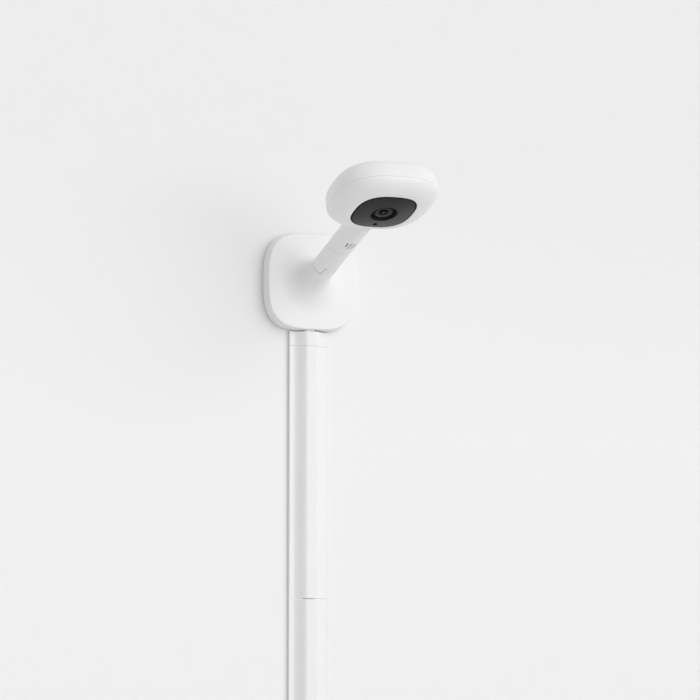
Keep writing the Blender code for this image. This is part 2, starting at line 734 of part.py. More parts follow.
def make_stem_wires():
    """The wires from the inlet board up over the speaker and out through the neck."""
    start = SPIGOT_END + INLET_BOARD_LENGTH
    speaker_middle = SLOT_START + SLOT_LENGTH / 2
    lift = WIRES_RADIUS
    route = [
        (0, start),
        (lift, start + WIRES_CLIMB),
        (2 * lift, speaker_middle - SPEAKER_LENGTH),
        (2 * lift, speaker_middle),
        (lift, speaker_middle + SPEAKER_LENGTH / 2 + WIRES_STRAIGHT),
        (0, FLANGE_BOTTOM - WIRES_STRAIGHT),
        (0, FLANGE_TOP),
        (0, STEM_FACE),
    ]
    curve = bpy.data.curves.new("stem_wires", "CURVE")
    curve.dimensions = "3D"
    curve.bevel_depth = WIRES_RADIUS * MM
    curve.bevel_resolution = 2
    curve.use_fill_caps = True
    spline = curve.splines.new("POLY")
    spline.points.add(len(route) - 1)
    for point, (above, along) in zip(spline.points, route):
        point.co = (0, above * MM, along * MM, 1)
    wires = bpy.data.objects.new("stem_wires", curve)
    PARTS.objects.link(wires)
    own(wires, ARM, WIRE_SHEATH, STEM_AXIS)


def make_neck():
    """A flanged neck out of the stem's end, with a crosswise knuckle that the head turns on."""
    profile = [
        (0, PIVOT_S),
        (NECK_RADIUS, PIVOT_S),
        (NECK_RADIUS, FLANGE_TOP),
        (STEM_BORE_RADIUS - SEAT, FLANGE_TOP),
        (STEM_BORE_RADIUS - SEAT, FLANGE_BOTTOM),
        (0, FLANGE_BOTTOM),
    ]
    neck = own(turned("neck_knuckle", profile, KNUCKLE_STEPS), ARM, GLOSS_WHITE, STEM_AXIS)
    barrel = rod("knuckle_barrel", KNUCKLE_RADIUS, -KNUCKLE_HALF_WIDTH, KNUCKLE_HALF_WIDTH, KNUCKLE_STEPS)
    own(barrel, ARM @ shift(0, 0, PIVOT_S) @ TURN_TO_X)
    join(neck, barrel)
    past = KNUCKLE_HALF_WIDTH + CUT_PAST
    pin_hole = rod("knuckle_bore", PIN_RADIUS + RUNNING, -past, past, PIN_STEPS)
    own(pin_hole, ARM @ shift(0, 0, PIVOT_S) @ TURN_TO_X)
    cut(neck, pin_hole)
    low = FLANGE_BOTTOM - CUT_PAST
    way = rod("neck_bore", NECK_BORE_RADIUS, low, PIVOT_S - KNUCKLE_RADIUS - CUT_PAST, SMALL_STEPS)
    own(way, ARM)
    cut(neck, way)
    hole_radius = NECK_SCREW_SHANK_RADIUS + PILOT_PLAY
    for side in (-1, 1):
        hole = rod(f"neck_screw_hole_{side}", hole_radius, low, FLANGE_TOP + CUT_PAST, SMALL_STEPS)
        own(hole, ARM @ shift(side * NECK_SCREW_X))
        cut(neck, hole)


def screw_profile(head_radius, head_height, shank_radius, shank_length):
    """A pan-head screw, head down, with the underside of its head at height zero."""
    return [
        (0, shank_length),
        (shank_radius * SCREW_POINT_SHARE, shank_length),
        (shank_radius, shank_length - shank_radius * SCREW_POINT_SHARE),
        (shank_radius, 0),
        (head_radius, 0),
        (head_radius, -head_height * SCREW_RIM_SHARE),
        (head_radius * SCREW_CROWN_SHARE, -head_height),
        (0, -head_height),
    ]


def make_neck_screws():
    shank = SEAT / 2 + NECK_FLANGE_LENGTH + NECK_SCREW_BITE
    profile = screw_profile(NECK_SCREW_HEAD_RADIUS, SCREW_HEAD_HEIGHT, NECK_SCREW_SHANK_RADIUS, shank)
    for side, name in ((-1, "left"), (1, "right")):
        screw = turned("neck_screw_" + name, profile, SMALL_STEPS)
        own(screw, ARM @ shift(side * NECK_SCREW_X, 0, FLANGE_BOTTOM - SEAT / 2), BARE_STEEL, STEM_AXIS)


# Head shells

def head_ring(half_x, half_y, height, centre_y):
    return [(x, y, height) for x, y in superellipse(half_x, half_y, HEAD_EXPONENT, centre_y)]


def dome_rings(inset, base, crest, steps):
    """Rings of the top shell's outer or inner surface, from its rim up to its crown."""
    rings = []
    for step in range(steps):
        turn = math.pi / 2 * step / steps
        spread = math.cos(turn) ** (2 / TOP_EXPONENT)
        climb = math.sin(turn) ** (2 / TOP_EXPONENT)
        half_x = (HEAD_HALF_WIDTH - inset) * spread
        half_y = (HEAD_HALF_LENGTH - inset) * spread
        rings.append(head_ring(half_x, half_y, base + (crest - base) * climb, -HEAD_FORWARD))
    half_x = (HEAD_HALF_WIDTH - inset) * CROWN_SHARE
    half_y = (HEAD_HALF_LENGTH - inset) * CROWN_SHARE
    rings.append(head_ring(half_x, half_y, crest, -HEAD_FORWARD))
    return rings


def bowl_rings(inset, mouth_inset, top, bottom, steps):
    """Rings of the bottom shell's outer or inner surface, from the parting line down to the window."""
    rings = []
    for step in range(steps + 1):
        turn = math.pi / 2 * step / steps
        spread = abs(math.cos(turn)) ** (2 / BOWL_EXPONENT)
        drop = math.sin(turn) ** (2 / BOWL_EXPONENT)
        mouth_x = WINDOW_HALF_WIDTH + mouth_inset
        mouth_y = WINDOW_HALF_LENGTH + mouth_inset
        half_x = mouth_x + (HEAD_HALF_WIDTH - inset - mouth_x) * spread
        half_y = mouth_y + (HEAD_HALF_LENGTH - inset - mouth_y) * spread
        centre = WINDOW_BACK + (-HEAD_FORWARD - WINDOW_BACK) * spread
        rings.append(head_ring(half_x, half_y, top + (bottom - top) * drop, centre))
    return rings


def neck_slot(name):
    """The slot that the neck swings in as the head tilts."""
    reach = PIVOT_FROM_REAR + HEAD_WALL
    swing = reach * math.sin(math.radians(TILT_DEG)) + NECK_RADIUS + NECK_SLOT_PLAY
    slot = block(name, (2 * (NECK_RADIUS + NECK_SLOT_PLAY), 4 * HEAD_WALL, 2 * swing))
    own(slot, HEAD @ shift(0, HEAD_REAR - HEAD_WALL))
    return slot


def crown_height(x, y):
    """Height of the top shell's inner surface over a point of the head."""
    across = abs(x / (HEAD_HALF_WIDTH - HEAD_WALL)) ** HEAD_EXPONENT
    along = abs((y + HEAD_FORWARD) / (HEAD_HALF_LENGTH - HEAD_WALL)) ** HEAD_EXPONENT
    out = (across + along) ** (1 / HEAD_EXPONENT)
    return PARTING + (TOP_HEIGHT - HEAD_WALL) * (1 - out ** TOP_EXPONENT) ** (1 / TOP_EXPONENT)


def board_screw_places():
    """Middle of each main board screw, as (x, y) in the head's frame."""
    front = -MAIN_BOARD_FRONT + BOARD_SCREW_INSET
    back = MAIN_BOARD_BACK - BOARD_SCREW_INSET
    return [(side * BOARD_SCREW_X, y) for y in (front, back) for side in (-1, 1)]


BRACKET_REAR = PIVOT_BACK + BRACKET_LENGTH / 2
BRACKET_FRONT = PIVOT_BACK - BRACKET_LENGTH / 2 - BRACKET_APRON
BRACKET_SCREW_Y = BRACKET_FRONT + BRACKET_APRON / 2
BRACKET_SCREW_PLACES = [(side * BRACKET_SCREW_X, BRACKET_SCREW_Y) for side in (-1, 1)]


def make_top_shell():
    outer = dome_rings(0, PARTING + SEAM / 2, TOP_CREST, TOP_STEPS)
    inner = dome_rings(HEAD_WALL, PARTING + SEAM / 2, TOP_CREST - HEAD_WALL, INNER_STEPS)
    shell = own(loft("head_top_shell", outer[::-1] + inner), HEAD, GLOSS_WHITE, HEAD_AXIS)
    cut(shell, neck_slot("neck_slot_top"))
    bosses = [(x, y, MAIN_BOARD_TOP + SEAT) for x, y in board_screw_places()]
    bosses += [(x, y, BRACKET_TOP + SEAT) for x, y in BRACKET_SCREW_PLACES]
    for k, (x, y, low) in enumerate(bosses):
        boss = rod(f"boss_{k}", BOSS_RADIUS, low, crown_height(x, y) + HEAD_WALL / 2, SMALL_STEPS)
        own(boss, HEAD @ shift(x, y))
        join(shell, boss)
        pilot_radius = SCREW_SHANK_RADIUS + PILOT_PLAY
        pilot = rod(f"boss_pilot_{k}", pilot_radius, low - CUT_PAST, low + SCREW_BITE, SMALL_STEPS)
        own(pilot, HEAD @ shift(x, y))
        cut(shell, pilot)


def make_bottom_shell():
    top = PARTING - SEAM / 2
    outer = bowl_rings(0, WINDOW_RIM, top, PARTING - BOWL_DEPTH, BOWL_STEPS)
    inner = bowl_rings(HEAD_WALL, -LEDGE_WIDTH, top, top - BOWL_INNER_DEPTH, INNER_STEPS)
    mouth = (WINDOW_HALF_WIDTH + SEAT, WINDOW_HALF_LENGTH + SEAT)
    ledge = (WINDOW_HALF_WIDTH - LEDGE_WIDTH, WINDOW_HALF_LENGTH - LEDGE_WIDTH)
    rim = [
        head_ring(*mouth, PARTING - BOWL_DEPTH, WINDOW_BACK),
        head_ring(*mouth, LEDGE_UNDERSIDE, WINDOW_BACK),
        head_ring(*ledge, LEDGE_UNDERSIDE, WINDOW_BACK),
    ]
    shell = loft("head_bottom_shell", outer + rim + inner[::-1], closed=True)
    own(shell, HEAD, GLOSS_WHITE, HEAD_AXIS)
    cut(shell, neck_slot("neck_slot_bottom"))


# Window and lens

LENS = HEAD @ shift(0, WINDOW_BACK)


def window_ring(share, level):
    """A ring of the window, from its rounded-square edge at share 0 to the round lens opening at share 1."""
    half_x = WINDOW_HALF_WIDTH + (RECESS_RADIUS - WINDOW_HALF_WIDTH) * share
    half_y = WINDOW_HALF_LENGTH + (RECESS_RADIUS - WINDOW_HALF_LENGTH) * share
    exponent = HEAD_EXPONENT + (ROUND - HEAD_EXPONENT) * share
    return [(x, y, level) for x, y in superellipse(half_x, half_y, exponent)]


def window_level(out):
    """Level of the window's crowned face at a distance from its middle."""
    return WINDOW_FACE - WINDOW_CROWN * (1 - (out / WINDOW_HALF_WIDTH) ** 2)


def make_window():
    rings = [window_ring(0, WINDOW_TOP)]
    for step in range(CROWN_STEPS + 1):
        share = step / CROWN_STEPS
        out = WINDOW_HALF_WIDTH + (RECESS_RADIUS - WINDOW_HALF_WIDTH) * share
        rings.append(window_ring(share, window_level(out)))
    rings.append(window_ring(1, WINDOW_TOP))
    window = own(loft("window_cover", rings, closed=True), LENS, SMOKED_PANEL, HEAD_AXIS)
    low = WINDOW_FACE - WINDOW_CROWN
    hole = rod("dot_hole", DOT_RADIUS + HOLE_PLAY, low, WINDOW_TOP + CUT_PAST, SMALL_STEPS)
    own(hole, LENS @ shift(0, DOT_FROM_LENS))
    cut(window, hole)


def make_lens():
    rim = RECESS_RADIUS - SEAT
    throat = LENS_RING_RADIUS + SEAT
    face = window_level(RECESS_RADIUS)
    floor = WINDOW_FACE + RECESS_DEPTH
    bezel = [(rim, floor), (rim, face), (rim - BEZEL_LIP, face)]
    bezel += [(throat, floor - BEZEL_FLOOR), (throat, floor)]
    own(turned("lens_bezel", bezel, ring=True), LENS, SATIN_BLACK, HEAD_AXIS)
    ring_low = face + LENS_RING_SET_BACK
    ring_high = BARREL_BOTTOM - SEAT
    bore = LENS_RADIUS + SEAT
    ring = [
        (LENS_RING_RADIUS, ring_high),
        (LENS_RING_RADIUS, ring_low + LENS_RING_CHAMFER),
        (LENS_RING_RADIUS - LENS_RING_CHAMFER, ring_low),
        (bore + LENS_RING_CHAMFER, ring_low),
        (bore, ring_low + LENS_RING_CHAMFER),
        (bore, ring_high),
    ]
    own(turned("lens_ring", ring, ring=True), LENS, GLOSS_BLACK, HEAD_AXIS)
    dome = [(0, ring_high), (LENS_RADIUS, ring_high)]
    rim_level = ring_high - LENS_EDGE
    for step in range(DOME_STEPS):
        turn = math.pi / 2 * step / DOME_STEPS
        dome.append((LENS_RADIUS * math.cos(turn), rim_level - LENS_DOME * math.sin(turn)))
    dome.append((0, rim_level - LENS_DOME))
    own(turned("lens_front_element", dome), LENS, LENS_GLASS, HEAD_AXIS)
    barrel_top = BARREL_BOTTOM + BARREL_LENGTH
    barrel = washer("lens_barrel", BARREL_RADIUS, BARREL_RADIUS - BARREL_WALL, BARREL_BOTTOM, barrel_top)
    own(barrel, LENS, SATIN_BLACK, HEAD_AXIS)
    side = HOLDER_SIZE / 2
    seat = circle(BARREL_RADIUS + SEAT)
    holder = slab("lens_holder", [rectangle(side, -side, side), seat], HOLDER_HEIGHT)
    own(holder, LENS @ shift(0, 0, (HOLDER_BOTTOM + HOLDER_TOP) / 2), SATIN_BLACK, HEAD_AXIS)
    board = block("sensor_board", (SENSOR_BOARD_SIZE, SENSOR_BOARD_SIZE, BOARD_THICKNESS))
    own(board, LENS @ shift(0, 0, SENSOR_BOARD_UNDERSIDE + BOARD_THICKNESS / 2), BOARD_GREEN, HEAD_AXIS)


def make_lamps():
    outline = superellipse(WINDOW_HALF_WIDTH - SEAT, WINDOW_HALF_LENGTH - SEAT, HEAD_EXPONENT)
    board = slab("lamp_board", [outline, circle(BARREL_RADIUS + SEAT)], BOARD_THICKNESS)
    own(board, LENS @ shift(0, 0, LAMP_BOARD_UNDERSIDE + BOARD_THICKNESS / 2), BOARD_GREEN, HEAD_AXIS)
    hang = LAMP_BOARD_UNDERSIDE - SEAT
    for k in range(LAMP_COUNT):
        turn = 2 * math.pi * (k + 0.5) / LAMP_COUNT
        lamp = block(f"infrared_lamp_{k + 1}", (LAMP_SIZE, LAMP_SIZE, LAMP_THICKNESS))
        x = LAMP_RADIUS_FROM_LENS * math.cos(turn)
        y = LAMP_RADIUS_FROM_LENS * math.sin(turn)
        own(lamp, LENS @ shift(x, y, hang - LAMP_THICKNESS / 2), CLEAR_LAMP, HEAD_AXIS)
    sensor_low = window_level(DOT_FROM_LENS) + SEAT
    sensor = rod("light_sensor", DOT_RADIUS, sensor_low, hang, SMALL_STEPS)
    own(sensor, LENS @ shift(0, DOT_FROM_LENS), GLOSS_BLACK, HEAD_AXIS)
    microphone = block("microphone", (MICROPHONE_SIZE, MICROPHONE_SIZE, LAMP_THICKNESS))
    own(microphone, LENS @ shift(0, -DOT_FROM_LENS, hang - LAMP_THICKNESS / 2), BARE_STEEL, HEAD_AXIS)


# Boards and tilt joint in the head

def make_boards():
    holes = [circle(SCREW_SHANK_RADIUS + HOLE_PLAY, x, y, SMALL_STEPS) for x, y in board_screw_places()]
    outline = rectangle(MAIN_BOARD_HALF_WIDTH, -MAIN_BOARD_FRONT, MAIN_BOARD_BACK)
    board = slab("main_board", [outline, *holes], MAIN_BOARD_THICKNESS)
    own(board, HEAD @ shift(0, 0, MAIN_BOARD_ABOVE_AXIS + MAIN_BOARD_THICKNESS / 2), BOARD_GREEN, HEAD_AXIS)
    middle = (MAIN_BOARD_BACK - MAIN_BOARD_FRONT) / 2
    spreader = block("heat_spreader", (2 * SPREADER_HALF_WIDTH, SPREADER_LENGTH, SPREADER_THICKNESS))
    level = MAIN_BOARD_TOP + SEAT + SPREADER_THICKNESS / 2
    own(spreader, HEAD @ shift(0, middle, level), PLAIN_ALUMINIUM, HEAD_AXIS)
    aerial = block("radio_aerial", (AERIAL_WIDTH, AERIAL_LENGTH, AERIAL_THICKNESS))
    roof = crown_height(AERIAL_WIDTH / 2, middle - AERIAL_LENGTH / 2)
    own(aerial, HEAD @ shift(0, middle, roof - SEAT - AERIAL_THICKNESS / 2), COPPER_FILM, HEAD_AXIS)
    shank = SEAT / 2 + MAIN_BOARD_THICKNESS + SCREW_BITE
    profile = screw_profile(SCREW_HEAD_RADIUS, SCREW_HEAD_HEIGHT, SCREW_SHANK_RADIUS, shank)
    for k, (x, y) in enumerate(board_screw_places()):
        screw = turned(f"board_screw_{k + 1}", profile, SMALL_STEPS)
        own(screw, HEAD @ shift(x, y, MAIN_BOARD_ABOVE_AXIS - SEAT / 2), BARE_STEEL, HEAD_AXIS)


def make_tilt_joint():
    """A bracket with two ears under the top shell, the pin through them and a friction washer inside each."""
    outline = [
        (-EAR_OUTER, -BRACKET_EAR_DROP),
        (-EAR_INNER, -BRACKET_EAR_DROP),
        (-EAR_INNER, BRACKET_TOP_UNDERSIDE),
        (EAR_INNER, BRACKET_TOP_UNDERSIDE),
        (EAR_INNER, -BRACKET_EAR_DROP),
        (EAR_OUTER, -BRACKET_EAR_DROP),
        (EAR_OUTER, BRACKET_TOP),
        (-EAR_OUTER, BRACKET_TOP),
    ]
    length = BRACKET_REAR - BRACKET_FRONT
    bracket = solid_slab("tilt_bracket", [outline], length)
    stand = Matrix.Rotation(math.pi / 2, 4, "X")
    own(bracket, HEAD @ shift(0, (BRACKET_FRONT + BRACKET_REAR) / 2) @ stand, BARE_STEEL, HEAD_AXIS)
    ear_height = BRACKET_TOP_UNDERSIDE + BRACKET_EAR_DROP
    relief = block("ear_relief", (4 * EAR_OUTER, 2 * BRACKET_APRON, 2 * ear_height))
    own(relief, HEAD @ shift(0, BRACKET_FRONT, -BRACKET_EAR_DROP))
    cut(bracket, relief)
    pivot = HEAD @ shift(0, PIVOT_BACK) @ TURN_TO_X
    past = EAR_OUTER + CUT_PAST
    bore = rod("ear_bore", PIN_RADIUS + RUNNING, -past, past, PIN_STEPS)
    own(bore, pivot)
    cut(bracket, bore)
    low = BRACKET_TOP_UNDERSIDE - CUT_PAST
    high = BRACKET_TOP + CUT_PAST
    for k, (x, y) in enumerate(BRACKET_SCREW_PLACES):
        hole = rod(f"bracket_hole_{k}", SCREW_SHANK_RADIUS + HOLE_PLAY, low, high, SMALL_STEPS)
        own(hole, HEAD @ shift(x, y))
        cut(bracket, hole)
    pin = rod("tilt_pin", PIN_RADIUS, -EAR_OUTER, EAR_OUTER, PIN_STEPS)
    own(pin, pivot, BARE_STEEL, HEAD_AXIS)
    for side, name in ((-1, "left"), (1, "right")):
        half = WASHER_THICKNESS / 2
        hole = PIN_RADIUS + PILOT_PLAY
        ring = washer("friction_washer_" + name, WASHER_RADIUS, hole, -half, half, PIN_STEPS)
        middle = side * (KNUCKLE_HALF_WIDTH + SIDE_PLAY + half)
        own(ring, pivot @ shift(0, 0, middle), FRICTION_RUBBER, HEAD_AXIS)
    shank = SEAT / 2 + BRACKET_TOP_THICKNESS + SCREW_BITE
    profile = screw_profile(SCREW_HEAD_RADIUS, SCREW_HEAD_HEIGHT, SCREW_SHANK_RADIUS, shank)
    for k, (x, y) in enumerate(BRACKET_SCREW_PLACES):
        screw = turned(f"bracket_screw_{k + 1}", profile, SMALL_STEPS)
        own(screw, HEAD @ shift(x, y, BRACKET_TOP_UNDERSIDE - SEAT / 2), BARE_STEEL, HEAD_AXIS)


make_mount_cover()
make_wall_bracket()
make_raceway()
make_stem_sleeve()
make_stem_tube()
make_release_tab()
make_tab_spring()
make_inlet()
make_speaker()
make_stem_wires()
make_neck()
make_neck_screws()
make_top_shell()
make_bottom_shell()
make_window()
make_lens()
make_lamps()
make_boards()
make_tilt_joint()
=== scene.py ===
"""Looks of the wall-mounted baby monitor camera: fine shells, finishes, stage, light and camera."""

import json
import math

import bmesh
import bpy
from mathutils import Matrix, Vector


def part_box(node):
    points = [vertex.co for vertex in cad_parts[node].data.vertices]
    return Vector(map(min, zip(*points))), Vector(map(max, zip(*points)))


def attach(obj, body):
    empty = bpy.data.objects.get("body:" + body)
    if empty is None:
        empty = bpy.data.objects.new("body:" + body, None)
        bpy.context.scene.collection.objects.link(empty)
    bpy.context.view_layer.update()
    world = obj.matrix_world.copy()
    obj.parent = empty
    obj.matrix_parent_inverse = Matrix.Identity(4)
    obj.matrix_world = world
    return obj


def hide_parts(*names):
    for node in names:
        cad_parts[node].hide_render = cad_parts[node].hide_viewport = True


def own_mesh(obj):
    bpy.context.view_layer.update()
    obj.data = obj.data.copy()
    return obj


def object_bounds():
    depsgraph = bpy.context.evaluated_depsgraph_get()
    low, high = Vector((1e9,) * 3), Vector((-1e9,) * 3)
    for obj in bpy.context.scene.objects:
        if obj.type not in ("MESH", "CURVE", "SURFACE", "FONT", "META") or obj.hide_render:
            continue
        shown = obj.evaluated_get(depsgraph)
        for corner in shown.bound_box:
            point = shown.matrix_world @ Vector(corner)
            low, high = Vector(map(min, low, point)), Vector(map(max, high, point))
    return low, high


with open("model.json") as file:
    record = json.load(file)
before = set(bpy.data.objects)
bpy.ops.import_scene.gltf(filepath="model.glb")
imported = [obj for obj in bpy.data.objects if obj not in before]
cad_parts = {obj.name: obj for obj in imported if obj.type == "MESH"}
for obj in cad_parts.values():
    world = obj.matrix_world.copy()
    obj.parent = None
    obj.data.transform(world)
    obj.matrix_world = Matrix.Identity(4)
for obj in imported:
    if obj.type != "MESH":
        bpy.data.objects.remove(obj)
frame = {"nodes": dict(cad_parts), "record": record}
CAD_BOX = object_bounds()
NODES = frame["nodes"]
MM = 0.001

# Sizes in millimetres, as in the solids

# Clearances
SEAM = 0.3
SEAT = 0.3

# Wall plate and arm
PLATE_HALF = 39.0
PLATE_EXPONENT = 3.2
PLATE_DEPTH = 10.3
PLATE_EDGE_RADIUS = 1.0
PLATE_WALL = 2.0
PLATE_OFF_WALL = 1.0
ARM_RISE = math.radians(20.0)
ARM_BASE_Z = 1.5
ARM_RADIUS = 9.6
FLARE_RADIUS = 28.0
FLARE_LENGTH = 18.0
SOCKET_MOUTH = 24.0
SOCKET_BORE_RADIUS = 7.8

# Raceway
RACEWAY_HALF_WIDTH = 16.8
RACEWAY_DEPTH = 8.3
RACEWAY_FLANGE = 2.6
RACEWAY_OFF_WALL = 0.3
RACEWAY_FRONT_HALF = 3.5
RACEWAY_TOE_HALF = 14.0
RACEWAY_LEAN = 1.1
CHANNEL_HALF = 5.0
CHANNEL_DEPTH = 6.9

# Stem
SPIGOT_RADIUS = 7.5
SPIGOT_END = 5.0
SPIGOT_END_WALL = 1.5
INLET_MOUTH = (9.2, 3.5)
SLEEVE_BORE_RADIUS = 4.9
SLEEVE_BORE_END = 40.0
SLEEVE_END = 60.0
JOINT_SPIGOT_RADIUS = 7.7
JOINT_SPIGOT_LENGTH = 6.0
JOINT_BORE_RADIUS = 6.2
STEM_BORE_RADIUS = 8.0
STEM_END_WALL = 2.9
SLOT_COUNT = 4
SLOT_START = 70.3
SLOT_LENGTH = 8.7
SLOT_SHORTER_BY = 1.4
SLOT_PITCH = math.radians(14.6)

# Release tab and its spring
TAB_HALF_ANGLE = math.radians(35.5)
TAB_END_HALF_ANGLE = math.radians(29.0)
TAB_LENGTH = 11.0
TAB_ROOT_GAP = 0.1
TAB_INNER_FLAT = 7.3
TAB_FLOOR = 6.0
SPRING_WIDTH = 3.0
SPRING_HALF_LENGTH = 3.5
SPRING_THICKNESS = 0.25

# Head and neck
HEAD_FROM_BASE = 137.35
HEAD_HALF_WIDTH = 40.6
HEAD_HALF_LENGTH = 36.3
HEAD_EXPONENT = 2.68
HEAD_FORWARD = 1.0
HEAD_WALL = 1.8
PARTING = -4.3
TOP_HEIGHT = 19.6
TOP_EXPONENT = 3.67
BOWL_DEPTH = 9.5
BOWL_EXPONENT = 1.67
BOWL_INNER_DEPTH = 6.6
PIVOT_FROM_REAR = 12.0
TILT = math.radians(12.0)
NECK_GAP = 1.5
NECK_RADIUS = 4.8
NECK_SLOT_PLAY = 0.6

# Window and lens
WINDOW_HALF_WIDTH = 23.2
WINDOW_HALF_LENGTH = 22.8
WINDOW_CROWN = 2.0
WINDOW_BACK = 0.4
WINDOW_THICKNESS = 1.5
WINDOW_INSET = 0.1
WINDOW_RIM = 1.0
LEDGE_WIDTH = 1.5
RECESS_RADIUS = 10.5
RECESS_DEPTH = 2.4
LENS_RING_RADIUS = 8.2
LENS_RADIUS = 5.4
LENS_DOME = 0.9
DOT_FROM_LENS = 16.9
DOT_RADIUS = 1.8

# Sizes in millimetres that only the looks have, or that differ a little from the solids

# Seams
FINE_SEAM = 0.12
COVER_SEAM = 0.6
SOCKET_SEAM = 0.8
TAB_SEAM = 0.5
WINDOW_GAP = 0.4

# Roundings. The middle point of one lies a share of its size inside both faces, and a ring of
# points at the hold's distance keeps its shading off the long face beside it.
EDGE = 0.25
FINE_EDGE = 0.1
ROUNDING_MIDDLE = 0.3
ROUNDING_HOLD = 0.5

# Wall plate, stem and head, with the crown's rings as shares
PLATE_DRAFT = 1.1
SPIGOT_AXIS_HOLE = 0.4
SLOT_WIDTH = 0.95
SLOT_CUT = 3.0
CROWN_SHARES = (0.12, 0.06, 0.02)

# Window's shadow band, a black piece that paints shadow in its gap and on its edge, and sensor dot
SHADOW_BAND_WIDTH = 0.8
SHADOW_BAND_PLAY = 0.02
SHADOW_BAND_PROUD = 0.03
DOT_DEPTH = 2.0
DOT_WALL = 0.2
DOT_PLAY = 0.05

# Lens bezel, ring and glass
BEZEL_LIP = 0.2
BEZEL_LAND = 0.4
BEZEL_THROAT = 0.4
LENS_RING_SET_BACK = 1.1
LENS_RING_SHOULDER = 0.5
LENS_RING_STEP = 0.3
LENS_RING_STEP_END = 1.5
LENS_RING_LAND_END = 1.3
LENS_RING_BEVEL = 0.5
LENS_RING_ROUNDING = 0.15
LENS_PLAY = 0.15
GLASS_SET_BACK = 0.3
GLASS_BACK_CAP = 0.15
GLASS_FRONT_CAP = 0.1

# Exponent of a round superellipse, and fineness of the meshes, with the weld in metres
ROUND_EXPONENT = 2.0
RING_POINTS = 176
ROUND_POINTS = 120
DOT_POINTS = 50
SLOT_POINTS = 24
SMOOTH_ANGLE = math.radians(38.0)
WELD = 0.000002

# The arm's axes, and places in millimetres along them or above the head's middle plane
ACROSS = Vector((1, 0, 0))
ALONG = Vector((0, -math.cos(ARM_RISE), math.sin(ARM_RISE)))
ABOVE = Vector((0, math.sin(ARM_RISE), math.cos(ARM_RISE)))
ARM_BASE = Vector((0, -PLATE_DEPTH, ARM_BASE_Z))
HEAD_CENTRE = ARM_BASE + HEAD_FROM_BASE * ALONG
HEAD_REAR = HEAD_HALF_LENGTH - HEAD_FORWARD
PIVOT_ALONG = HEAD_FROM_BASE - HEAD_REAR + PIVOT_FROM_REAR
SADDLE_RADIUS = PIVOT_FROM_REAR + NECK_GAP
STEM_INNER_END = PIVOT_ALONG - SADDLE_RADIUS - STEM_END_WALL
WINDOW_FACE = PARTING - BOWL_DEPTH + WINDOW_INSET
WINDOW_TOP = WINDOW_FACE + WINDOW_THICKNESS
LEDGE_UNDERSIDE = WINDOW_TOP + SEAT


def shift(x=0.0, y=0.0, z=0.0):
    return Matrix.Translation(Vector((x, y, z)) * MM)


def axes(x_axis, y_axis, z_axis, origin):
    """Places a piece by its own axes and an origin in millimetres."""
    matrix = Matrix((x_axis, y_axis, z_axis)).transposed().to_4x4()
    matrix.translation = origin * MM
    return matrix


WALL = Matrix.Identity(4)
ARM = axes(ACROSS, ABOVE, ALONG, ARM_BASE)
HEAD = axes(ACROSS, -ALONG, ABOVE, HEAD_CENTRE)
LENS = HEAD @ shift(0, WINDOW_BACK)


# Materials

# Colours, as linear red, green and blue
WHITE_LIGHT = (0.85, 0.85, 0.847)
WHITE_DARK = (0.835, 0.835, 0.832)
SOOT_LIGHT = (0.006, 0.006, 0.0065)
SOOT_DARK = (0.003, 0.003, 0.0033)
BEZEL_LIGHT = (0.02, 0.02, 0.021)
BEZEL_DARK = (0.012, 0.012, 0.013)
SMOKE_LIGHT = (0.007, 0.007, 0.0075)
SMOKE_DARK = (0.004, 0.004, 0.0045)
# Painted highlight and painted reflection on the lens: the glint, and the grey on its rim and on the
# ring's inner edge
GLINT = (0.16, 0.16, 0.17)
PUPIL_BLACK = (0.002, 0.002, 0.0025)
PAINTED_REFLECTION_GREY = (0.09, 0.09, 0.092)
MASK_LIGHT = (0.016, 0.13, 0.065)
MASK_DARK = (0.012, 0.10, 0.05)
TRACK_GREEN = (0.05, 0.26, 0.12)

# Bands on the lens, in millimetres from its axis: a painted glint in the middle, the black pupil, then a
# painted reflection in grey
GLINT_RADIUS = 0.7
PUPIL_RADIUS = 4.1
PAINTED_REFLECTION_END = 6.3
BAND_BLUR = 0.15

# Textures, with scales per metre and depths in metres
NOISE_ROUGHNESS = 0.55
CLOUD_SCALE = 38.0
CLOUD_DETAIL = 4.0
GLOSS_SCALE = 160.0
GLOSS_DETAIL = 5.0
GRAIN_SCALE = 2600.0
GRAIN_DETAIL = 2.0
GRAIN_DEPTH = 0.00001
COARSE_SCALE = 1800.0
COARSE_DEPTH = 0.00002
BRUSH_STRETCH = (900.0, 900.0, 40.0)
BRUSH_DETAIL = 4.0
PLASTIC_IOR = 1.5


